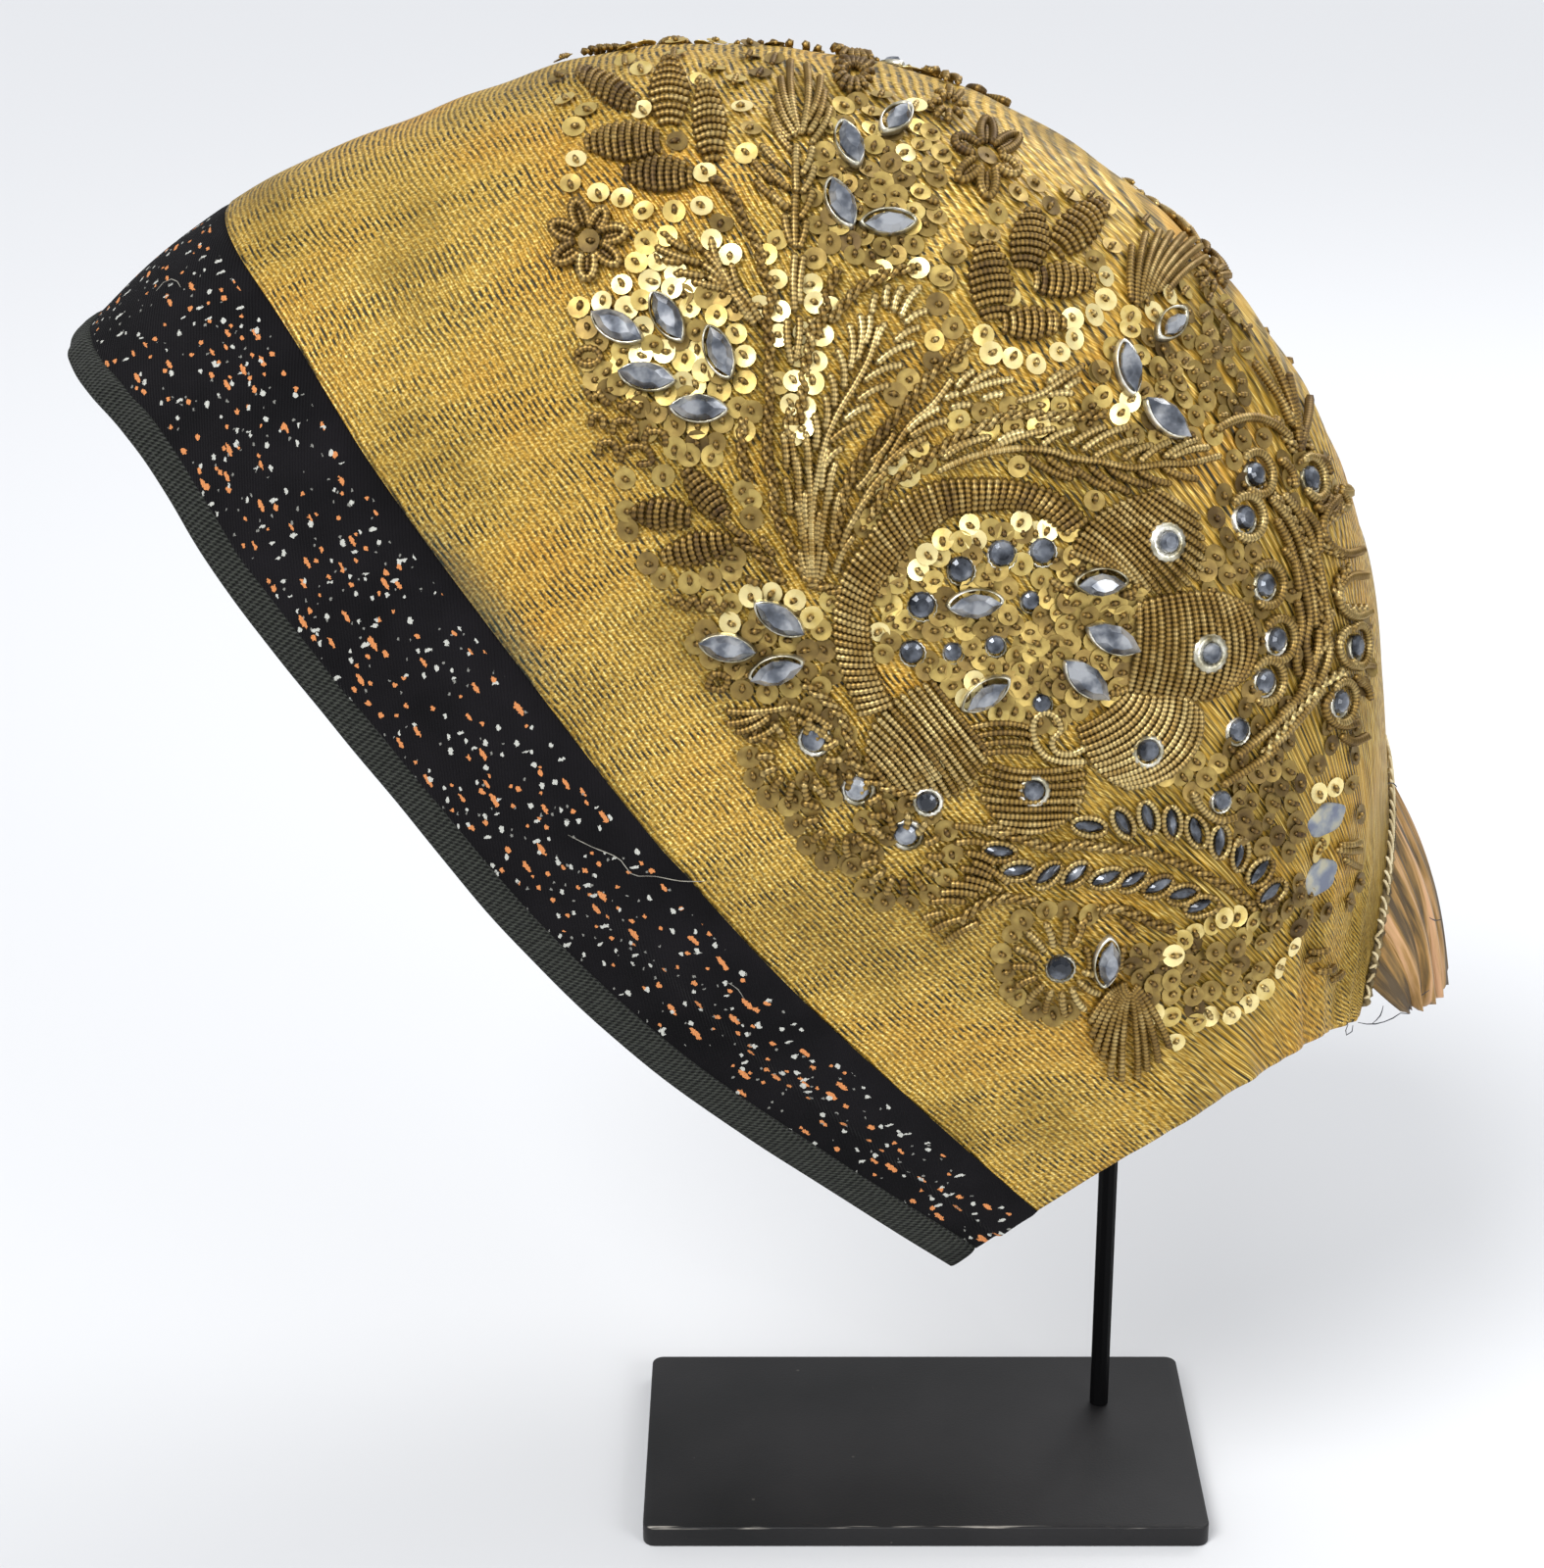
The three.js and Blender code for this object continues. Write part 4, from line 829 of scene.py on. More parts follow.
def brocade_material(settings):
    """Ribbed gold lame: gilt strip woven over dark green silk, so rows of gold with dark gaps that
    are partly the silk and partly painted shade.
    """
    material, tree = new_material("ribbed_gold_lame")
    cloth = add_node(tree, "UVMap", uv_map="cloth")
    place = add_node(tree, "TexCoord").outputs["Object"]
    halves = add_node(tree, "SeparateXYZ", {"Vector": cloth})
    # Slow wander of the ribs: a few tenths of a millimetre over about 20 mm.
    wander = add_node(tree, "TexNoise", {"Vector": cloth, "Scale": 0.05, "Detail": 3.0})
    moved = add_node(tree, "Math", [wander, 3.0, halves.outputs["X"]], operation="MULTIPLY_ADD")
    turns = add_node(tree, "Math", [moved, 2 * math.pi / (settings.rib_pitch / MM)], operation="MULTIPLY")
    wave = add_node(tree, "Math", [turns], operation="SINE")
    # Broken dark gaps: dashes of about 1 mm along each gap, thicker in some parts than in others.
    # The gaps' colour is partly dark silk and partly painted shade in the hollow of each rib.
    stretch = add_node(tree, "Mapping", {"Vector": cloth, "Scale": (1.0, 0.75, 1.0)})
    dashes = add_node(tree, "TexNoise", {"Vector": stretch, "Scale": 1.0, "Detail": 2.0})
    gap = add_node(
        tree, "MapRange", {"Value": wave, "From Min": 0.35, "From Max": -0.6}, interpolation_type="SMOOTHSTEP"
    )
    often = add_node(
        tree, "MapRange",
        {"Value": dashes, "From Min": 0.38, "From Max": 0.55, "To Min": 0.25, "To Max": 1.0},
        interpolation_type="SMOOTHSTEP"
    )
    across_ribs = add_node(tree, "Mapping", {"Vector": cloth, "Scale": (0.035, 0.16, 1.0)})
    bands = add_node(tree, "TexNoise", {"Vector": across_ribs, "Scale": 1.0, "Detail": 4.0})
    shade = add_node(
        tree, "MapRange", {"Value": bands, "From Min": 0.4, "From Max": 0.58, "To Min": 0.55, "To Max": 1.0}
    )
    rows = add_node(tree, "Math", [gap, often], operation="MULTIPLY")
    dark = add_node(tree, "Math", [rows, shade], operation="MULTIPLY")
    # Gilt strip seen as specks along each rib, about 0.45 mm apart; the light specks are painted
    # highlights and the dark ones painted shade, where the bump rises and falls.
    specks = add_node(tree, "Mapping", {"Vector": cloth, "Scale": (1.6, 2.4, 1.0)})
    grain = add_node(tree, "TexNoise", {"Vector": specks, "Scale": 1.0, "Detail": 3.0})
    gold = add_node(
        tree, "ValToRGB", {"Fac": grain},
        stops=[(0.3, settings.gold_shadow), (0.5, settings.gold), (0.68, settings.gold_highlight)]
    )
    # Cloudy wear: orange and olive patches of 10 to 30 mm.
    clouds = add_node(tree, "TexNoise", {"Vector": place, "Scale": 34.0, "Detail": 5.0})
    tint = add_node(
        tree, "ValToRGB", {"Fac": clouds},
        stops=[(0.32, linear("#b5b070")), (0.5, linear("#ffffff")), (0.68, linear("#ffe9b4"))]
    )
    tinted = add_node(
        tree, "Mix", {"Factor": 0.75, 6: gold, 7: tint}, data_type="RGBA", blend_type="MULTIPLY"
    )
    coloured = add_node(
        tree, "Mix", {"Factor": dark, 6: tinted.outputs[2], 7: settings.rib_gap_silk_and_shade}, data_type="RGBA"
    )
    # Dye that bled from the band: blue green within 9 mm of the seam, and 185 to 225 mm up.
    up = add_node(tree, "SeparateXYZ", {"Vector": place})
    near_seam = add_node(
        tree, "MapRange", {"Value": halves.outputs["X"], "From Min": 25.0, "From Max": 17.0},
        interpolation_type="SMOOTHSTEP"
    )
    from_middle = add_node(tree, "Math", [up.outputs["Z"], 0.205], operation="SUBTRACT")
    distance = add_node(tree, "Math", [from_middle], operation="ABSOLUTE")
    patch = add_node(
        tree, "MapRange",
        {"Value": distance, "From Min": 0.02, "From Max": 0.006, "To Min": 0.0, "To Max": 0.6},
        interpolation_type="SMOOTHSTEP"
    )
    bled = add_node(tree, "Math", [near_seam, patch], operation="MULTIPLY")
    stained = add_node(
        tree, "Mix", {"Factor": bled, 6: coloured.outputs[2], 7: linear("#24352f")}, data_type="RGBA"
    )
    rough = add_node(
        tree, "MapRange", {"Value": grain, "From Min": 0.35, "From Max": 0.7, "To Min": 0.55, "To Max": 0.3}
    )
    profile = add_node(tree, "Math", [grain, 0.5, wave], operation="MULTIPLY_ADD")
    bump = add_node(tree, "Bump", {"Strength": 0.7, "Distance": 0.00022, "Height": profile})
    shader = add_node(
        tree, "BsdfPrincipled",
        {"Base Color": stained.outputs[2], "Metallic": 0.3, "Roughness": rough, "Normal": bump}
    )
    add_node(tree, "OutputMaterial", {"Surface": shader})
    return material


def mottled_material(name, scale, detail, stops, finish, relief=None):
    """One clouded colour and perhaps a fine relief: its noise scale and detail, strength and depth."""
    material, tree = new_material(name)
    place = add_node(tree, "TexCoord").outputs["Object"]
    values = dict(finish)
    if relief:
        grain = add_node(tree, "TexNoise", {"Vector": place, "Scale": relief[0], "Detail": relief[1]})
        bump = {"Strength": relief[2], "Distance": relief[3], "Height": grain}
        values["Normal"] = add_node(tree, "Bump", bump)
    clouds = add_node(tree, "TexNoise", {"Vector": place, "Scale": scale, "Detail": detail})
    values["Base Color"] = add_node(tree, "ValToRGB", {"Fac": clouds}, stops=stops)
    shader = add_node(tree, "BsdfPrincipled", values)
    add_node(tree, "OutputMaterial", {"Surface": shader})
    return material


def lining_material():
    """Plain undyed linen lining: matt, beige, with a fine thread."""
    stops = [(0.3, linear("#8d7c5c")), (0.7, linear("#b5a583"))]
    return mottled_material("linen_lining", 30.0, 4.0, stops, {"Roughness": 0.9}, (1400.0, 2.0, 0.4, 0.0002))


def band_material(settings):
    """Black cotton twill with a small printed fleck: flat, matt, slightly brushed."""
    material, tree = new_material("printed_black_twill")
    cloth = add_node(tree, "UVMap", uv_map="cloth")
    place = add_node(tree, "TexCoord").outputs["Object"]
    ragged = add_node(tree, "TexNoise", {"Vector": cloth, "Scale": 1.9, "Detail": 2.0})
    bent = add_node(
        tree, "VectorMath", [ragged.outputs["Color"], (1.0, 1.0, 0.0), cloth], operation="MULTIPLY_ADD"
    )
    ground = add_node(tree, "TexNoise", {"Vector": place, "Scale": 60.0, "Detail": 5.0})
    colour = add_node(
        tree, "ValToRGB", {"Fac": ground}, stops=[(0.35, settings.band_ground), (0.75, linear("#19171a"))]
    )
    # Each print is a field of cells in millimetres: cell width, stretch along its lean, fleck radius
    # as a share of the cell, the share of cells that hold one, and its lean.
    white, orange = settings.fleck_white, settings.fleck_orange
    prints = [
        (4.2, 0.36, 0.1, 0.7, 0.12, orange, (2.3, 7.1, 0.0)),
        (3.0, 0.8, 0.135, 0.42, 0.0, orange, (11.3, 3.7, 0.0)),
        (3.0, 0.75, 0.13, 0.42, 0.5, white, (5.9, 1.3, 0.0)),
        (3.3, 0.4, 0.085, 0.42, -1.2, white, (1.7, 9.2, 0.0)),
        (2.3, 0.8, 0.085, 0.35, 0.9, linear("#85857f"), (4.1, 2.9, 0.0))
    ]
    seam = add_node(tree, "Attribute", attribute_name="from_seam").outputs["Fac"]
    printed = add_node(tree, "Math", [seam, 3.6], operation="GREATER_THAN")
    for cell, stretch, radius, share, lean, fleck, shift in prints:
        leant = add_node(tree, "VectorRotate", {"Vector": bent, "Angle": lean}, rotation_type="Z_AXIS")
        laid = add_node(
            tree, "Mapping", {"Vector": leant, "Location": shift, "Scale": (1 / cell, stretch / cell, 1.0)}
        )
        cells = add_node(
            tree, "TexVoronoi", {"Vector": laid, "Scale": 1.0, "Randomness": 0.9}, voronoi_dimensions="2D"
        )
        chance = add_node(tree, "SeparateColor", {"Color": cells.outputs["Color"]})
        size = add_node(
            tree, "MapRange",
            {"Value": chance.outputs["Green"], "To Min": radius * 0.65, "To Max": radius * 1.25}
        )
        inside = add_node(tree, "Math", [cells, size], operation="LESS_THAN")
        held = add_node(tree, "Math", [chance.outputs["Red"], share], operation="LESS_THAN")
        both = add_node(tree, "Math", [inside, held], operation="MULTIPLY")
        mask = add_node(tree, "Math", [both, printed], operation="MULTIPLY")
        colour = add_node(tree, "Mix", {"Factor": mask, 6: colour, 7: fleck}, data_type="RGBA").outputs[2]
    # Twill lines about 0.7 mm apart, leaning over the warp.
    lean = add_node(tree, "Mapping", {"Vector": cloth, "Rotation": (0.0, 0.0, 0.6), "Scale": (9.0, 9.0, 1.0)})
    twill = add_node(tree, "TexWave", {"Vector": lean, "Scale": 0.06, "Distortion": 1.0})
    bump = add_node(tree, "Bump", {"Strength": 0.8, "Distance": 0.0003, "Height": twill.outputs["Fac"]})
    shader = add_node(
        tree, "BsdfPrincipled",
        {
            "Base Color": colour, "Roughness": 0.95, "Sheen Weight": 0.02, "Specular IOR Level": 0.1,
            "Normal": bump
        }
    )
    add_node(tree, "OutputMaterial", {"Surface": shader})
    return material


def tape_material(settings):
    """Charcoal twill tape: a coarse dry weave whose slanting knots are painted lighter as highlight
    and whose hollows are painted darker as shade.
    """
    material, tree = new_material("charcoal_twill_tape")
    cloth = add_node(tree, "UVMap", uv_map="cloth")
    place = add_node(tree, "TexCoord").outputs["Object"]
    halves = add_node(tree, "SeparateXYZ", {"Vector": cloth})
    # Coarse weave: sine across by sine along, knots 0.75 mm wide and 0.55 mm long in slanting rows.
    across = add_node(tree, "Math", [halves.outputs["X"], 2 * math.pi / 1.5], operation="MULTIPLY")
    along = add_node(tree, "Math", [halves.outputs["Y"], 2 * math.pi / 1.1, across], operation="MULTIPLY_ADD")
    first = add_node(tree, "Math", [across], operation="SINE")
    second = add_node(tree, "Math", [along], operation="SINE")
    wave = add_node(tree, "Math", [first, second], operation="MULTIPLY")
    fibre = add_node(tree, "TexNoise", {"Vector": place, "Scale": 900.0, "Detail": 4.0})
    height = add_node(tree, "Math", [fibre, 1.4, wave], operation="MULTIPLY_ADD")
    # The weave's height, fibre noise included, sets the colour: painted shade in the hollows and a painted
    # highlight on the knots.
    tone = add_node(tree, "MapRange", {"Value": height, "From Min": -0.3, "From Max": 1.7})
    colour = add_node(
        tree, "ValToRGB", {"Fac": tone}, stops=[(0.2, settings.tape_hollow_shade), (0.95, settings.tape_knot_highlight)]
    )
    bump = add_node(tree, "Bump", {"Strength": 1.0, "Distance": 0.0005, "Height": height})
    shader = add_node(
        tree, "BsdfPrincipled",
        {
            "Base Color": colour, "Roughness": 0.95, "Sheen Weight": 0.05, "Specular IOR Level": 0.15,
            "Normal": bump
        }
    )
    add_node(tree, "OutputMaterial", {"Surface": shader})
    return material


def gather_material(settings):
    """Faded striped silk: peach ground with bronze stripes along the pleats and a soft sheen."""
    material, tree = new_material("striped_silk")
    cloth = add_node(tree, "UVMap", uv_map="cloth")
    stripes = add_node(tree, "Mapping", {"Vector": cloth, "Scale": (1.0, 0.045, 1.0)})
    broad = add_node(tree, "TexNoise", {"Vector": stripes, "Scale": 0.42, "Detail": 1.0})
    fine = add_node(tree, "TexNoise", {"Vector": stripes, "Scale": 1.9, "Detail": 3.0})
    both = add_node(tree, "Math", [fine, 0.55, broad], operation="MULTIPLY_ADD")
    colour = add_node(
        tree, "ValToRGB", {"Fac": both},
        stops=[
            (0.66, linear("#4a3a20")), (0.73, linear("#755a2c")), (0.8, settings.silk_stripe),
            (0.87, settings.silk_peach), (0.97, linear("#c49870"))
        ]
    )
    bump = add_node(tree, "Bump", {"Strength": 1.0, "Distance": 0.0006, "Height": both})
    shader = add_node(
        tree, "BsdfPrincipled",
        {"Base Color": colour, "Roughness": 0.62, "Sheen Weight": 0.08, "Normal": bump}
    )
    add_node(tree, "OutputMaterial", {"Surface": shader})
    return material


def thread_material(name, dark, light):
    """Sewing thread: soft and matt with a slight change of tone from place to place."""
    stops = [(0.35, linear(dark)), (0.65, linear(light))]
    return mottled_material(name, 300.0, 2.0, stops, {"Roughness": 0.85})


# Cloth pieces


def rib_lengths(station, across):
    """Cloth coordinates in mm for a grid of places: across the ribs, and along them.

    The ribs run up the coif beside the band's seam. The first is the level way round from the seam,
    the sum of sqrt(back step^2 + side step^2); the second is the length over the top from the ridge.
    """
    back, side, up = cloth_lengths(station, across)
    level = summed(np.hypot(np.diff(back, axis=0), np.diff(side, axis=0)), 0)
    return level + BAND_SEAM * CROWN_DEPTH, run_from_ridge(np.stack([back, side, up], axis=-1))


def hem_pucker(station, across, depth):
    """Puckers that die away from the hem: depth times a mixed wave along the stations."""
    near_hem = np.clip((np.abs(across) - 0.6) / 0.4, 0, 1) ** 1.4
    ends = np.clip((station - 0.1) / 0.12, 0, 1) * np.clip((1.02 - station) / 0.1, 0, 1)
    run = station * 2 * np.pi
    slant = run + 2.2 * np.abs(across)
    wave = np.sin(slant * 9) + 0.6 * np.sin(slant * 15 + 1.3) + 0.2 * np.sin(run * 27 + across * 6)
    ridge = np.clip(1 - np.abs(across) / 0.2, 0, 1) ** 2 * 0.25 * np.sin(run * 19 + across * 20)
    return depth * (near_hem * ends * wave * 0.6 + ridge * ends)


def cloth_sheet(stations, across, wall, lift):
    """Outer and inner points of a cloth piece over a grid of stations and across values."""
    out = cloth_axes(stations, across)[2]
    face = cloth_point(stations, across)
    return face + out * lift[..., None], face + out * (lift[..., None] - wall)


class CoifCloth(bpy.types.PropertyGroup):
    """Sizes and colours of the woven pieces."""

    rib_pitch: length_property("Rib pitch", "Spacing of the gold cloth's ribs", 1.02)
    pucker: length_property("Pucker depth", "Depth of the puckers at the hem", 1.4)
    gold: colour_property("Gold", "Gilt strip of the cloth", "#c49a32")
    # Painted highlight and painted shade of the gilt strip's specks.
    gold_highlight: colour_property("Gold light", "Brightest strip", "#f2da86")
    gold_shadow: colour_property("Gold shadow", "Dull strip", "#8f7026")
    # Partly dark silk and partly painted shade between the ribs.
    rib_gap_silk_and_shade: colour_property("Rib gap", "Dark silk between the ribs", "#2a2408")
    band_ground: colour_property("Band", "Black ground of the band", "#0c0b0d")
    fleck_orange: colour_property("Orange fleck", "Printed fleck", "#d68c56")
    fleck_white: colour_property("White fleck", "Printed fleck", "#c4c5bd")
    # Painted shade of the tape's hollows and painted highlight of its knots.
    tape_hollow_shade: colour_property("Tape dark", "Tape in its hollows", "#0c0e0b")
    tape_knot_highlight: colour_property("Tape light", "Tape on its ribs", "#484b44")
    silk_peach: colour_property("Silk peach", "Ground of the gather", "#b08a5c")
    silk_stripe: colour_property("Silk stripe", "Stripe of the gather", "#97723a")


class COIF_OT_crown(bpy.types.Operator):
    """Adds the gold cloth crown, lined, with puckers at its hem."""

    bl_idname = "coif.crown"
    bl_label = "Crown cloth"

    def execute(self, context):
        settings = context.scene.coif_cloth
        rows, columns = 170, 221
        across = np.linspace(-1, 1, columns)[None]
        start = station_after(BAND_SEAM, across, -0.5)
        share = np.linspace(0, 1, rows)[:, None]
        stations = start + (NAPE_SEAM - start) * share
        across = np.broadcast_to(across, stations.shape)
        lift = hem_pucker(stations, across, settings.pucker / MM)
        outer, inner = cloth_sheet(stations, across, CLOTH_WALL, lift)
        # The hem itself rises and dips a little where the puckers meet it.
        down = np.sign(across)[..., None] * cloth_axes(stations, across)[1]
        dip = (np.clip((np.abs(across) - 0.97) / 0.03, 0, 1) * lift * -0.6)[..., None]
        outer, inner = outer + down * dip, inner + down * dip
        # The lining covers the inner face up to the rolled edges.
        loop = np.arange(2 * (columns + EDGE_ROLL))
        lined = (loop >= columns + 2) & (loop < 2 * columns + 3)
        parts = np.concatenate([np.tile(lined, rows - 1), np.zeros(2 * (columns - 1))])
        uv = sheet_uv(*rib_lengths(stations, across))
        materials = [brocade_material(settings), lining_material()]
        made = sheet_mesh("crown_cloth", outer, inner, materials, uv, parts=parts)
        settle(made, "gold_brocade", "crown")
        return {"FINISHED"}


class COIF_OT_face_band(bpy.types.Operator):
    """Adds the black printed band with its soft fold beside the seam."""

    bl_idname = "coif.face_band"
    bl_label = "Face band"

    def execute(self, context):
        settings = context.scene.coif_cloth
        rows, columns = 44, 221
        across = np.linspace(-1, 1, columns)[None]
        start = station_after(0.0, across, BINDING_WIDTH - 0.4)
        end = station_after(BAND_SEAM, across, -SEAM_GAP / 2)
        share = np.linspace(0, 1, rows)[:, None]
        stations = start + (end - start) * share
        across = np.broadcast_to(across, stations.shape)
        # A tuck lies along the band's lower third, and the cloth bears softly on the stiffening.
        place = 0.36 + 0.2 * (1 - np.abs(across))
        tuck = 0.7 * np.tanh((share - place) * 26) * np.clip((np.abs(across) - 0.62) / 0.2, 0, 1)
        ease = 0.35 * np.sin(across * 17 + share * 3) * np.sin(share * np.pi)
        seam = -0.5 * np.exp(-(((share - 1) / 0.05) ** 2))
        outer, inner = cloth_sheet(stations, across, CLOTH_WALL, tuck + ease + seam)
        face = cloth_point(stations, across)
        u, v = run_along(face), run_from_ridge(face)
        from_seam = {"from_seam": sheet_uv(u[-1] - u, v)[:, 0]}
        uv = sheet_uv(u, v)
        made = sheet_mesh("face_band_cloth", outer, inner, band_material(settings), uv, attributes=from_seam)
        settle(made, "dark_print_twill", "face_band")
        return {"FINISHED"}


class COIF_OT_edge_binding(bpy.types.Operator):
    """Adds the rolled twill tape on the face edge."""

    bl_idname = "coif.edge_binding"
    bl_label = "Edge binding"

    def execute(self, context):
        settings = context.scene.coif_cloth
        rows, sides = 260, 22
        across = np.linspace(-1, 1, rows)[:, None]
        angle = np.linspace(0, 2 * np.pi, sides, endpoint=False)[None]
        # Section: a flattened roll, |cos| ** 0.6 wide by |sin| ** 0.75 thick, round the cloth's edge.
        wide = BINDING_WIDTH / 2 * (1 - np.sign(np.cos(angle)) * np.abs(np.cos(angle)) ** 0.6)
        thick = BINDING_WALL / 2 * np.sign(np.sin(angle)) * np.abs(np.sin(angle)) ** 0.75
        soft = 0.12 * np.sin(across * 61) + 0.1 * np.sin(across * 97 + 2)
        stations = station_after(0.0, across, wide)
        whole = np.broadcast_to(across, stations.shape)
        out = cloth_axes(stations, whole)[2]
        points = cloth_point(stations, whole) + out * (thick * (1 + soft) - CLOTH_WALL / 2)[..., None]
        run = run_along(points[:, 0])
        girth = run_along(points[rows // 2])
        uv = np.stack(np.broadcast_arrays(girth[None], run[:, None]), axis=-1).reshape(-1, 2)
        flat = points.reshape(-1, 3)
        body = grid_faces(rows, sides, wrap=True)
        ends = [np.arange(sides)[None, ::-1], np.arange(sides)[None] + (rows - 1) * sides]
        faces = outward(flat, [body, *ends])
        made = build_mesh("binding_tape", flat, faces, tape_material(settings), uv=uv)
        settle(made, "charcoal_twill", "edge_binding")
        return {"FINISHED"}


def gather_face(down, fan):
    """Point of the gather before pleats: on the line from its seam to a free edge.

    The free edge is half an ellipse, back and up by cos(fan pi / 2) and sideways by sin(fan pi / 2).
    """
    seam = cloth_point(NAPE_SEAM, np.sign(fan) * np.abs(fan) ** GATHER_FAN)
    swing = np.cos(fan * np.pi / 2)
    back, up = (
        GATHER_EDGE["end_" + way] + (GATHER_EDGE["tail_" + way] - GATHER_EDGE["end_" + way]) * swing
        for way in ("back", "up")
    )
    side = HALF_WIDTH * GATHER_EDGE["width"] * np.sin(fan * np.pi / 2)
    edge = coif_frame(CROWN_DEPTH * back, side, FACE_HEIGHT * up)
    return seam + (edge - seam) * down[..., None]


class COIF_OT_nape_gather(bpy.types.Operator):
    """Adds the pleated silk gather at the nape."""

    bl_idname = "coif.nape_gather"
    bl_label = "Nape gather"

    def execute(self, context):
        settings = context.scene.coif_cloth
        rows, columns = 46, 401
        share = np.linspace(0, 1, rows)[:, None]
        place = np.linspace(0, 1, columns)[None]
        fan = np.broadcast_to(GATHER_SPAN * (2 * place - 1), (rows, columns))
        seam, edge = gather_face(np.zeros_like(fan), fan), gather_face(np.ones_like(fan), fan)
        length = np.linalg.norm(edge - seam, axis=-1)
        down = 2 * SEAM_GAP / length + (1 - 2 * SEAM_GAP / length) * share
        step = 0.01
        below = gather_face(down + step, fan) - gather_face(down - step, fan)
        beside = gather_face(down, fan + step) - gather_face(down, fan - step)
        out = unit(np.cross(below, beside))
        # Pleats: a sharpened cosine across, whose folds wander a little and deepen downwards.
        turn = 2 * np.pi * PLEAT_COUNT * (place + 0.006 * np.sin(share * 5 + place * 31))
        fold = np.cos(turn) + 0.35 * np.cos(2 * turn + 1) + 0.25 * np.cos(3.1 * turn + 2)
        rough_edge = 0.5 * np.sin(place * 190) * share**6
        pleat = PLEAT_DEPTH * (0.35 + share * 0.75) * fold
        height = GATHER_BULGE * np.sin(np.pi * share) + pleat
        face = gather_face(down, fan) + unit(below) * rough_edge[..., None]
        outer, inner = face + out * height[..., None], face + out * (height - GATHER_WALL)[..., None]
        uv = sheet_uv(run_along(outer[-1])[None] * 0.5, share * length)
        made = sheet_mesh("nape_silk", outer, inner, gather_material(settings), uv)
        settle(made, "striped_silk", "nape_gather")
        return {"FINISHED"}


# Building the embroidery


def smooth_line(places, spacing=4.0):
    """Smooth curve through picture places: cubic Hermite over the length of their chords."""
    places = np.array(places, float)
    run = run_along(places)
    x = np.linspace(0, run[-1], max(4, int(run[-1] / spacing) + 2))
    line = curve_through({"run": run, "x": places[:, 0], "y": places[:, 1]}, "run", x)
    return np.stack([line["x"], line["y"]], axis=-1)


def bent_line(start, end, bend):
    """A line with a sag: start + (end - start) s + bend 4 s (1 - s) square to it."""
    start, end = np.array(start, float), np.array(end, float)
    s = np.linspace(0, 1, max(4, int(np.linalg.norm(end - start) / 4) + 2))[:, None]
    along = (end - start) / max(np.linalg.norm(end - start), 1e-6)
    return start + (end - start) * s + np.array([-along[1], along[0]]) * bend * 4 * s * (1 - s)


def dressed(station, across):
    """Points and outward directions of the puckered cloth that the embroidery lies on."""
    out = cloth_axes(station, across)[2]
    lift = hem_pucker(station, across, bpy.context.scene.coif_cloth.pucker / MM)
    return cloth_point(station, across) + out * lift[..., None], out


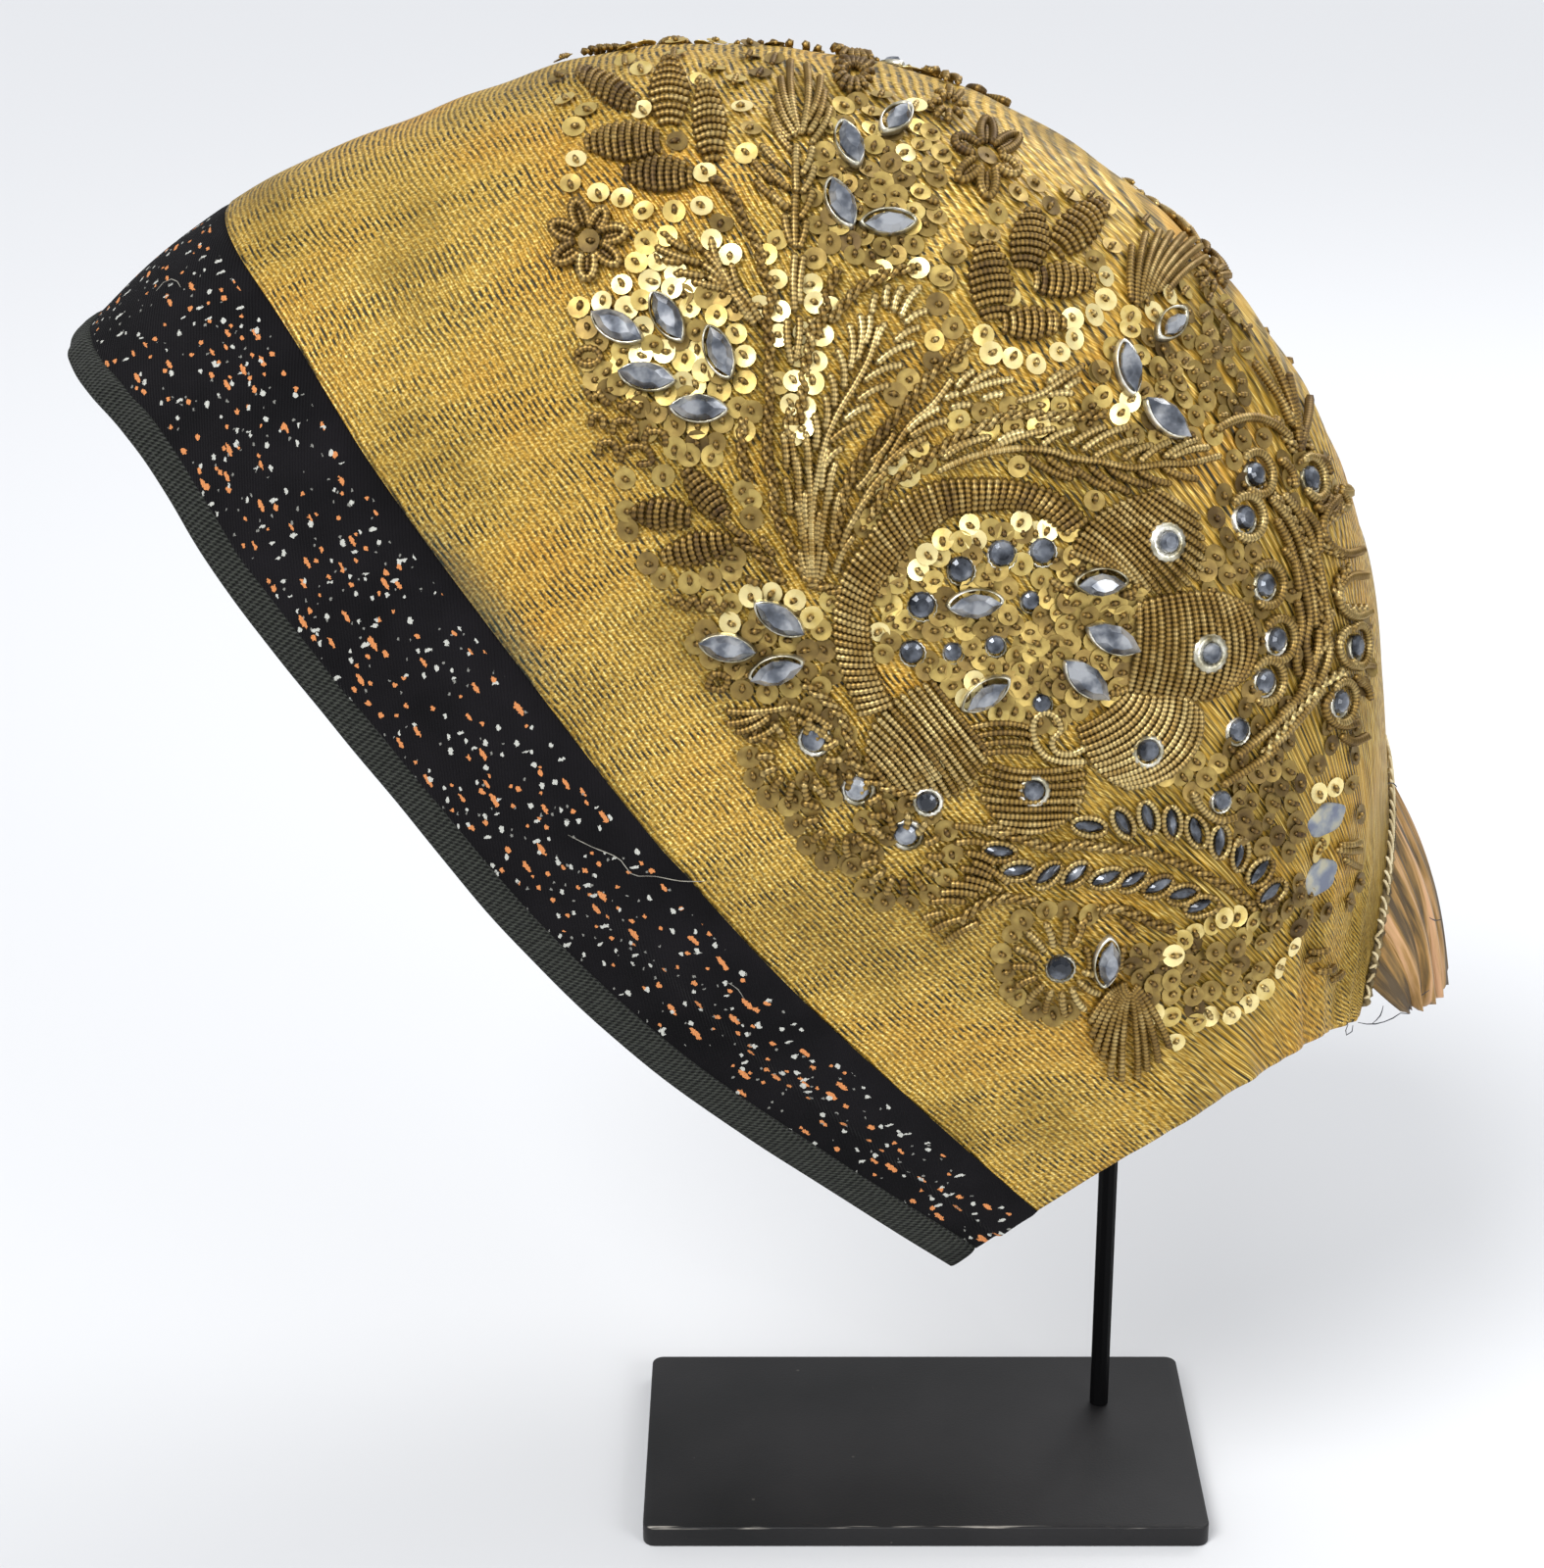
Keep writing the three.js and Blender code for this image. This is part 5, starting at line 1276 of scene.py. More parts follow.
class Purls:
    """Lengths of coiled wire, gathered as lines of the picture and swept as one mesh."""

    def __init__(self, pitch, sides=5):
        self.half = pitch / 2
        self.sides = sides
        self.lines = []
        self.placed = []

    def lay(self, places, tone, radius=0.5, lift=0.0, rise=0.0, swing=0.0, wave=4.5, phase=0.0):
        """Notes one length. Swing, wave and phase twist it: swing (cos, sin)(2 pi run / wave + phase)."""
        self.lines.append((np.asarray(places, float), tone, radius, lift, rise, swing, wave, phase))

    def place(self, points, outs, radius, lift=0.0, rise=0.0, swing=0.0, wave=4.5, phase=0.0):
        """Notes one length by its points in the frame and their outward directions."""
        self.placed.append(((0.5, radius, lift, rise, swing, wave, phase), points, outs))

    def rope(self, places, tone, radius=0.68):
        """Two lengths twisted round each other."""
        line = smooth_line(places)
        for phase in (0.0, np.pi):
            self.lay(line, tone, radius, lift=0.35, swing=0.55, wave=5.0, phase=phase)

    def build(self):
        """Beaded tubes: ring = middle + radius (cos side + sin out), radius going 1, 0.7, 1, 0.7.

        Lift over the cloth is radius + lift + rise sin(pi s) ** 0.7. Returns points, faces, tone, groove.
        """
        rows = list(self.placed)
        if self.lines:
            cuts = np.cumsum([len(line[0]) for line in self.lines])[:-1]
            points, outs = dressed(*find_on_cloth(np.concatenate([line[0] for line in self.lines])))
            rows += zip([line[1:] for line in self.lines], np.split(points, cuts), np.split(outs, cuts))
        angle = np.linspace(0, 2 * np.pi, self.sides, endpoint=False)
        ring = np.stack([np.cos(angle), np.sin(angle)], axis=-1)
        made, quads, ends, tones, grooves, count = [], [], [], [], [], 0
        for (tone, radius, lift, rise, swing, wave, phase), line, out in rows:
            run = run_along(line)
            n = max(5, int(run[-1] / self.half) // 2 * 2 + 1)
            x = np.linspace(0, run[-1], n)
            line, out = resampled(line, run, x), unit(resampled(out, run, x))
            _, out, side = cord_frame(line, out)
            s = x / max(run[-1], 1e-6)
            turn = 2 * np.pi * x / wave + phase
            swell = rise * np.sin(np.pi * np.clip(s, 0, 1)) ** 0.7
            level = radius * 0.85 + lift + swell + swing * np.sin(turn)
            middle = line + out * level[:, None] + side * (swing * np.cos(turn))[:, None]
            _, out, side = cord_frame(middle, out)
            # Every second ring is a groove: narrower here, and painted in shade by the purl material.
            grooved = (np.arange(n) % 2).astype(float)
            girth = radius * (1 - 0.26 * grooved)
            girth[[0, -1]] *= 0.45
            hoop = ring[None, :, :1] * side[:, None] + ring[None, :, 1:] * out[:, None]
            tube = middle[:, None] + girth[:, None, None] * hoop
            made.append(tube.reshape(-1, 3))
            quads.append(grid_faces(n, self.sides, wrap=True, start=count))
            first = np.arange(self.sides) + count
            ends.append(np.stack([first[::-1], first + (n - 1) * self.sides]))
            tones.append(np.full(n * self.sides, tone))
            grooves.append(np.repeat(grooved, self.sides))
            count += n * self.sides
        points = np.concatenate(made)
        faces = outward(points, [np.concatenate(quads), np.concatenate(ends)])
        return points, faces, {"tone": np.concatenate(tones), "groove": np.concatenate(grooves)}


def both_sides(name, shape, material, slot, replaces=None, smooth=True):
    """Adds the near piece and its mirror image on the far side, whose faces are turned round."""
    points, faces, attributes = shape
    for label, mirror in (("near", 1), ("far", -1)):
        corners = [group if mirror > 0 else group[:, ::-1] for group in faces]
        place = points * np.array([1, mirror, 1])
        piece = build_mesh(f"{name}_{label}", place, corners, material, attributes=attributes, smooth=smooth)
        settle(piece, slot, *([f"{replaces}_{label}"] if replaces else []))


def seats_on(station, across, lift=0.0):
    """Seats on the cloth: middle, direction along, direction beside and direction out."""
    middle, out = dressed(station, across)
    along = unit(cloth_axes(station, across)[1])
    middle = middle + out * np.broadcast_to(np.asarray(lift, float), np.shape(station))[:, None]
    return middle, along, np.cross(out, along), out


def seats_at(places, heading=None, lift=0.0):
    """Seats at picture places; the heading is the angle that their long side makes in the picture."""
    places = np.asarray(places, float)
    middle, along, beside, out = seats_on(*find_on_cloth(places), lift=lift)
    if heading is not None:
        reach = 3 * np.stack([np.cos(heading), np.sin(heading)], axis=-1)
        ahead = dressed(*find_on_cloth(places + reach))[0] - dressed(*find_on_cloth(places - reach))[0]
        along = unit(ahead - out * np.einsum("ij,ij->i", ahead, out)[:, None])
        beside = np.cross(out, along)
    return middle, along, beside, out


def tilted(seats, rng, most):
    """Seats leant at random by up to a few degrees."""
    middle, along, beside, out = seats
    lean = rng.uniform(-math.tan(most), math.tan(most), (len(middle), 2))
    out = unit(out + lean[:, :1] * along + lean[:, 1:] * beside)
    along = unit(along - out * np.einsum("ij,ij->i", along, out)[:, None])
    return middle, along, np.cross(out, along), out


def stamped(seats, outline, shares, levels, closed):
    """One shape at many seats: middle + share (x along + y beside) + level out, ring after ring.

    Shares and levels have a value for each ring, or a row of them for each seat. Closed rings join
    last to first into a hoop; otherwise the first and last ring are capped.
    """
    middle, along, beside, out = seats
    count, rings, sides = len(middle), np.shape(shares)[-1], len(outline)
    shares = np.broadcast_to(shares, (count, rings))[:, :, None, None]
    levels = np.broadcast_to(levels, (count, rings))[:, :, None, None]
    flat = outline[:, :1] * along[:, None, None] + outline[:, 1:] * beside[:, None, None]
    points = middle[:, None, None] + shares * flat + levels * out[:, None, None]
    if closed:
        hoop = np.concatenate([np.arange(rings), [0]])
        grid = grid_faces(rings + 1, sides, wrap=True)
        grid = hoop[grid // sides] * sides + grid % sides
        faces = [grid]
    else:
        last = np.arange(sides) + (rings - 1) * sides
        faces = [grid_faces(rings, sides, wrap=True), np.stack([np.arange(sides)[::-1], last])]
    shift = np.arange(count)[:, None, None] * rings * sides
    faces = [(group[None] + shift).reshape(-1, group.shape[1]) for group in faces]
    points = points.reshape(-1, 3)
    return points, outward(points, faces), rings * sides


def circle(sides, teeth=0, depth=0.0):
    """Unit circle, its radius swelling by depth cos(teeth angle)."""
    angle = np.linspace(0, 2 * np.pi, sides, endpoint=False)
    reach = 1 + depth * np.cos(teeth * angle)
    return np.stack([reach * np.cos(angle), reach * np.sin(angle)], axis=-1)


def pointed_oval(long, wide, sides=16):
    """Pointed oval: x = long cos(angle), y = wide sin(angle) |sin(angle)| ** 0.35."""
    angle = np.linspace(0, 2 * np.pi, sides, endpoint=False)
    return np.stack([long * np.cos(angle), wide * np.sin(angle) * np.abs(np.sin(angle)) ** 0.35], axis=-1)


def joined(shapes):
    """Several shapes with like groups of faces and attributes as one."""
    points, faces, attributes, count = [], [], {}, 0
    for place, groups, values in shapes:
        points.append(place)
        faces += [group + count for group in groups]
        for key, value in values.items():
            attributes.setdefault(key, []).append(np.broadcast_to(value, len(place)))
        count += len(place)
    return np.concatenate(points), faces, {key: np.concatenate(value) for key, value in attributes.items()}


def inside(places, corners):
    """Which places lie in a polygon, by counting the edges crossed on the way right."""
    x, y = places[:, :1], places[:, 1:]
    ax, ay = np.array(corners, float).T
    bx, by = np.roll(ax, -1), np.roll(ay, -1)
    crossing = (ay > y) != (by > y)
    slope = np.where(by == ay, 1.0, by - ay)
    return (crossing & (x < ax + (y - ay) * (bx - ax) / slope)).sum(axis=1) % 2 == 1


def stone_places():
    """Picture places of every stone, so that patches of sequins leave them free."""
    rounds = to_picture(cloth_point(ROUND_STONES["station"], -ROUND_STONES["across"]))
    small = spots(SMALL_STONES)
    worn = spots(WORN_DISCS)
    nodes = [node for name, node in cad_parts.items() if name.startswith("navette_near")]
    middles = [np.array(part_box(node.name)).mean(axis=0) / MM for node in nodes]
    navettes = to_picture(np.array(middles))
    return np.concatenate([rounds, small, worn, navettes])


def sequin_layout(rng):
    """Places and tones of all sequins: those of the table, then the patches on a jittered grid."""
    places = np.concatenate([np.array(rows, float) for rows in SEQUINS.values()])
    tones = np.concatenate([np.full(len(rows), tone) for tone, rows in SEQUINS.items()])
    tones = tones + rng.normal(0, 0.08, len(tones))
    stones = stone_places()
    for tone, spacing, corners in SEQUIN_PATCHES:
        low, high = np.min(corners, axis=0), np.max(corners, axis=0)
        wide, tall = (high - low) / spacing
        i, j = np.meshgrid(np.arange(0, wide + 1), np.arange(0, tall * 1.2 + 1))
        grid = np.stack([low[0] + (i + 0.5 * (j % 2)) * spacing, low[1] + j * spacing * 0.85], axis=-1)
        grid = grid.reshape(-1, 2) + rng.uniform(-0.22, 0.22, (i.size, 2)) * spacing
        grid = grid[inside(grid, corners)]
        from_stone = np.linalg.norm(grid[:, None] - stones[None], axis=-1).min(axis=1)
        from_sequin = np.linalg.norm(grid[:, None] - places[None], axis=-1).min(axis=1)
        grid = grid[(from_stone > STONE_CLEARANCE) & (from_sequin > spacing * 0.62)]
        places = np.concatenate([places, grid])
        tones = np.concatenate([tones, tone + rng.normal(0, 0.12, len(grid))])
    return places, np.clip(tones, 0, 1)


def purl_material(settings):
    """Purl: fine coiled gilt copper wire, tarnished brown, bright where the coil is rubbed.

    The real coil turns about every 0.35 mm; it is drawn coarser so that it shows. The tone of
    each length sets how tarnished it is, and the grooves between turns are painted near black
    as shade.
    """
    material, tree = new_material("gilt_purl_wire")
    place = add_node(tree, "TexCoord").outputs["Object"]
    tone = add_node(tree, "Attribute", attribute_name="tone").outputs["Fac"]
    groove = add_node(tree, "Attribute", attribute_name="groove").outputs["Fac"]
    wear = add_node(tree, "TexNoise", {"Vector": place, "Scale": 330.0, "Detail": 3.0})
    large = add_node(tree, "TexNoise", {"Vector": place, "Scale": 45.0, "Detail": 3.0})
    spread = add_node(tree, "MapRange", {"Value": wear, "To Min": -0.34, "To Max": 0.34})
    wide = add_node(tree, "MapRange", {"Value": large, "To Min": -0.3, "To Max": 0.3})
    both = add_node(tree, "Math", [spread, wide])
    level = add_node(tree, "Math", [both, tone])
    colour = add_node(
        tree, "ValToRGB", {"Fac": level},
        stops=[(0.1, settings.purl_tarnished), (0.45, settings.purl), (0.95, settings.purl_bright)]
    )
    # Painted shade: the grooves between turns are mixed three quarters of the way to near black.
    groove_shade = add_node(tree, "Math", [groove, 0.75], operation="MULTIPLY")
    mixed = add_node(tree, "Mix", {"Factor": groove_shade, 6: colour, 7: linear("#1c130a")}, data_type="RGBA")
    rough = add_node(tree, "MapRange", {"Value": level, "To Min": 0.55, "To Max": 0.28})
    shader = add_node(
        tree, "BsdfPrincipled", {"Base Color": mixed.outputs[2], "Metallic": 0.65, "Roughness": rough}
    )
    add_node(tree, "OutputMaterial", {"Surface": shader})
    return material


def sequin_material(settings):
    """Sequins: thin stamped gilt brass, cupped; some still bright, most tarnished brown in clouds.
    Each sequin's tone is partly tarnish and partly painted highlight where the light catches it.
    """
    material, tree = new_material("gilt_brass_sequin")
    place = add_node(tree, "TexCoord").outputs["Object"]
    tone = add_node(tree, "Attribute", attribute_name="tone").outputs["Fac"]
    wear = add_node(tree, "TexNoise", {"Vector": place, "Scale": 420.0, "Detail": 4.0})
    spread = add_node(tree, "MapRange", {"Value": wear, "To Min": -0.3, "To Max": 0.3})
    level = add_node(tree, "Math", [spread, tone])
    colour = add_node(
        tree, "ValToRGB", {"Fac": level},
        stops=[
            (0.05, settings.sequin_dark), (0.35, settings.sequin_dull), (0.7, settings.sequin),
            (1.0, settings.sequin_bright)
        ]
    )
    rough = add_node(tree, "MapRange", {"Value": level, "To Min": 0.55, "To Max": 0.36})
    bump = add_node(tree, "Bump", {"Strength": 0.3, "Distance": 0.0001, "Height": wear})
    shader = add_node(
        tree, "BsdfPrincipled", {"Base Color": colour, "Metallic": 0.7, "Roughness": rough, "Normal": bump}
    )
    add_node(tree, "OutputMaterial", {"Surface": shader})
    return material


def glass_material(settings):
    """Cut glass backed with old tin foil: grey blue to slate, cloudy, with a clear polished skin."""
    material, tree = new_material("foiled_cut_glass")
    place = add_node(tree, "TexCoord").outputs["Object"]
    tint = add_node(tree, "Attribute", attribute_name="tint").outputs["Fac"]
    cloud = add_node(tree, "TexNoise", {"Vector": place, "Scale": 260.0, "Detail": 3.0})
    spread = add_node(
        tree, "MapRange", {"Value": cloud, "From Min": 0.3, "From Max": 0.7, "To Min": -0.1, "To Max": 0.8}
    )
    level = add_node(tree, "Math", [tint, 0.6, spread], operation="MULTIPLY_ADD")
    colour = add_node(
        tree, "ValToRGB", {"Fac": level},
        stops=[(0.15, settings.glass_pale), (0.55, settings.glass), (0.95, settings.glass_deep)]
    )
    shader = add_node(
        tree, "BsdfPrincipled",
        {"Base Color": colour, "Metallic": 0.5, "Roughness": 0.2, "Coat Weight": 0.4, "Coat Roughness": 0.05}
    )
    add_node(tree, "OutputMaterial", {"Surface": shader})
    return material


def foil_material(settings):
    """Tin foil cups: bright silver, crumpled by hand over the stone, grey where it oxidised."""
    stops = [(0.36, linear("#6f6549")), (0.5, settings.foil), (0.66, linear("#f2efe4"))]
    finish = {"Metallic": 0.85, "Roughness": 0.34}
    return mottled_material("tin_foil", 240.0, 4.0, stops, finish, (900.0, 3.0, 0.6, 0.0002))


def worn_foil_material():
    """Foil whose glass is lost: dull white with blue and buff blotches where it oxidised."""
    stops = [(0.38, linear("#646b7c")), (0.5, linear("#868a8c")), (0.62, linear("#a39f8c"))]
    return mottled_material("worn_foil", 260.0, 4.0, stops, {"Roughness": 0.5}, (260.0, 4.0, 0.5, 0.0002))


class CoifMetal(bpy.types.PropertyGroup):
    """Sizes and colours of the embroidery."""

    purl_pitch: length_property("Purl pitch", "Length of one drawn turn of the coil", 0.78)
    satin_pitch: length_property("Stitch pitch", "Spacing of purls laid side by side", 1.24)
    sequin_radius: length_property("Sequin radius", "Outer radius of a sequin", 2.05)
    sequin_hole: length_property("Sequin hole", "Radius of a sequin's hole", 0.5)
    purl: colour_property("Purl", "Purl wire", "#a0803f")
    purl_bright: colour_property("Purl bright", "Rubbed wire", "#f4dc98")
    purl_tarnished: colour_property("Purl tarnished", "Dark wire", "#584020")
    sequin: colour_property("Sequin", "Gold sequin", "#cdb468")
    sequin_bright: colour_property("Sequin bright", "Brightest sequin", "#f4e2a2")
    sequin_dull: colour_property("Sequin dull", "Tarnished sequin", "#8f7740")
    sequin_dark: colour_property("Sequin dark", "Darkest sequin", "#5a4728")
    glass: colour_property("Glass", "Cut glass", "#60656e")
    glass_pale: colour_property("Glass pale", "Palest glass", "#a6a9ad")
    glass_deep: colour_property("Glass deep", "Darkest glass", "#1f232a")
    foil: colour_property("Foil", "Tin foil", "#b5b09a")


class COIF_OT_satin(bpy.types.Operator):
    """Adds the raised petals and wings of purl laid side by side."""

    bl_idname = "coif.satin"
    bl_label = "Laid purl"

    def execute(self, context):
        settings = context.scene.coif_metal
        rng = np.random.default_rng(11)
        purls = Purls(settings.purl_pitch / MM)
        pitch = settings.satin_pitch / MM * CAMERA_FOCAL / CAMERA_RANGE
        for row in zip(*PETALS.values()):
            tip, base, width, tone = np.array(row[:2]), np.array(row[2:4]), row[4], row[5]
            length = np.linalg.norm(base - tip)
            axis = (base - tip) / length
            square = np.array([-axis[1], axis[0]])
            stitches = int(length / pitch)
            # Petal half width: sin(pi (0.06 + 0.82 s)) ** 0.75, pointed at the tip and round at the base.
            for s in (np.arange(stitches) + 0.5) / stitches:
                half = width / 2 * math.sin(math.pi * (0.06 + 0.82 * s)) ** 0.75
                middle = tip + axis * length * s + rng.normal(0, 0.4, 2)
                line = bent_line(middle - square * half, middle + square * half, 2.5)
                purls.lay(line, tone + rng.normal(0, 0.07), 0.71, rise=0.9 * math.sin(math.pi * s) ** 0.5)
        for band in BANDS.values():
            edges = [smooth_line(band[key]) for key in ("from", "to")]
            if "middle" in band:
                edges.insert(1, smooth_line(band["middle"]))
            else:
                edges.insert(1, (evened(edges[0], 60) + evened(edges[1], 60)) / 2)
            length = np.linalg.norm(np.diff(edges[1], axis=0), axis=1).sum()
            stitches = max(3, round(length / pitch))
            first, middle, last = (evened(edge, stitches) for edge in edges)
            s = np.linspace(0, 1, 14)[:, None]
            for a, b, c in zip(first, middle, last):
                # Through three places: a (1 - s)(1 - 2 s) + 4 b s (1 - s) + c s (2 s - 1).
                line = a * (1 - s) * (1 - 2 * s) + 4 * b * s * (1 - s) + c * s * (2 * s - 1)
                tone = band["tone"] + rng.normal(0, 0.07)
                purls.lay(line, tone, 0.7, rise=band["rise"] + rng.normal(0, 0.06))
        shape = purls.build()
        both_sides("laid_purl", shape, purl_material(settings), "metal_embroidery", replaces="embroidery")
        return {"FINISHED"}


def evened(line, count):
    """A line's points set at even lengths along it."""
    run = run_along(line)
    return resampled(line, run, np.linspace(0, run[-1], count))


def ray_ways(count, start, stop):
    """Directions of count rays from one turn in degrees to another; a full turn counts its end once."""
    turn = np.radians(np.linspace(start, stop, int(count), endpoint=stop - start < 360))
    return np.stack([np.cos(turn), np.sin(turn)], axis=-1)


class COIF_OT_purl(bpy.types.Operator):
    """Adds the stems, fronds, ropes, loops, suns and ears of purl."""

    bl_idname = "coif.purl"
    bl_label = "Purl lines"

    def execute(self, context):
        settings = context.scene.coif_metal
        rng = np.random.default_rng(12)
        purls = Purls(settings.purl_pitch / MM)
        for tone, places in ROPES:
            purls.rope(places, tone)
        for tone, places in CURVES:
            purls.lay(smooth_line(places), tone, 0.8, lift=0.3)
        for x0, y0, x1, y1, bend, tone in zip(*BARBS.values()):
            purls.lay(bent_line((x0, y0), (x1, y1), bend), tone, 0.82, lift=0.1, rise=0.35)
        for middle, tips in LOOP_FLOWERS:
            for tip in tips:
                purls.lay(purl_loop(middle, tip), 0.42 + rng.normal(0, 0.08), 0.95, lift=0.35)
                reach = np.subtract(tip, middle)
                purls.lay(bent_line(middle + reach * 0.38, middle + reach * 0.84, 0.5), 0.3, 0.7)
        for x, y, reach, spokes in zip(*WHEELS.values()):
            for way in ray_ways(spokes, 0, 360) * reach:
                purls.lay(bent_line((x, y) + way * 0.35, (x, y) + way, 1), 0.38, 0.78, rise=0.8)
        for x, y, first, last, rays, start, stop in zip(*SUNS.values()):
            for way in ray_ways(rays, start, stop):
                ray = bent_line((x, y) + way * first, (x, y) + way * last, 2)
                purls.lay(ray, 0.5 + rng.normal(0, 0.08), 0.85, lift=0.25, rise=0.4)
        for x, y, turn in zip(*EARS.values()):
            for way in (-1, 1):
                purls.lay(
                    ear_arc((x, y), math.radians(turn), way), 0.58 + rng.normal(0, 0.08), 0.62, lift=0.25
                )
        for ring in stone_rings():
            purls.lay(ring, 0.5 + rng.normal(0, 0.08), 1.0, lift=0.5)
        for tone, places in THICK_CURVES:
            purls.lay(smooth_line(places), tone, 1.0, lift=0.45)
        shape = purls.build()
        both_sides("purl_lines", shape, purl_material(settings), "metal_embroidery")
        return {"FINISHED"}


def purl_loop(middle, tip):
    """A long open loop: from the middle out and back, two fifths as wide as it is long."""
    middle, tip = np.array(middle, float), np.array(tip, float)
    s = np.linspace(0.12, 0.88, 18)[:, None] * 2 * np.pi
    axis = tip - middle
    square = np.array([-axis[1], axis[0]]) * 0.19
    return middle + axis * (0.6 - 0.4 * np.cos(s)) - square * np.sin(s)


def ear_arc(middle, turn, way):
    """Half of a pointed oval round an ear's stone: length cos(angle), width sin(angle)."""
    angle = np.linspace(0, np.pi, 12)
    x, y = EAR_LONG * np.cos(angle), way * EAR_WIDE * np.sin(angle)
    cos, sin = math.cos(turn), math.sin(turn)
    return np.stack([middle[0] + x * cos - y * sin, middle[1] + x * sin + y * cos], axis=-1)


def stone_rings():
    """Rings of purl round the stones of the right side, as picture lines of circles on the cloth."""
    near = ROUND_STONES["station"] > 0.6
    station, across = ROUND_STONES["station"][near], -ROUND_STONES["across"][near]
    small = find_on_cloth(spots(SMALL_STONES)[4:7])
    station, across = np.append(station, small[0]), np.append(across, small[1])
    middle, along, beside, _ = seats_on(station, across)
    angle = np.linspace(-2.4, 2.4, 26)[None, :, None]
    rings = middle[:, None] + STONE_RING * (np.cos(angle) * -beside[:, None] + np.sin(angle) * along[:, None])
    return to_picture(rings)


class COIF_OT_sequins(bpy.types.Operator):
    """Adds the sequins, each held by a short purl that points to its motif."""

    bl_idname = "coif.sequins"
    bl_label = "Sequins"

    def execute(self, context):
        settings = context.scene.coif_metal
        rng = np.random.default_rng(13)
        places, tones = sequin_layout(rng)
        suns = []
        for x, y, _, last, rays, start, stop in zip(*SUNS.values()):
            suns.append((x, y) + (last + SUN_SEQUIN_GAP) * ray_ways(rays, start, stop))
        suns = np.concatenate([*suns[:3], [middle for middle, _ in LOOP_FLOWERS]])
        places = np.concatenate([places, suns])
        tones = np.append(tones, rng.uniform(0.15, 0.45, len(suns)))
        lift = rng.uniform(0.3, 0.85, len(places))
        seats = tilted(seats_at(places, lift=lift), rng, SEQUIN_LEAN)
        radius = settings.sequin_radius / MM * rng.uniform(0.93, 1.07, len(places))[:, None]
        hole = np.full_like(radius, settings.sequin_hole / MM)
        shares = np.concatenate([radius, hole, hole, radius], axis=1)
        points, faces, each = stamped(seats, circle(14), shares, SEQUIN_LEVELS, closed=True)
        shape = (points, faces, {"tone": np.repeat(tones, each)})
        both_sides("sequins", shape, sequin_material(settings), "metal_embroidery", smooth=False)
        hearts = np.array(HEARTS, float)
        nearest = hearts[np.argmin(np.linalg.norm(places[:, None] - hearts[None], axis=-1), axis=1)]
        way = nearest - places
        way /= np.maximum(np.linalg.norm(way, axis=1, keepdims=True), 1)
        knots = Purls(settings.purl_pitch / MM)
        for place, turn, high, tone in zip(places, way, lift, tones):
            swerve = rng.normal(0, 0.35)
            turn = np.array([turn[0] - swerve * turn[1], turn[1] + swerve * turn[0]])
            reach = rng.uniform(4.5, 7.5)
            line = bent_line(place - turn * 2.5, place + turn * reach, 0.5)
            # The knot's tone follows its sequin's tone, painted highlight included.
            knots.lay(line, 0.25 + 0.3 * tone, 0.6, lift=high - 0.1)
        both_sides("sequin_purls", knots.build(), purl_material(settings), "metal_embroidery")
        return {"FINISHED"}


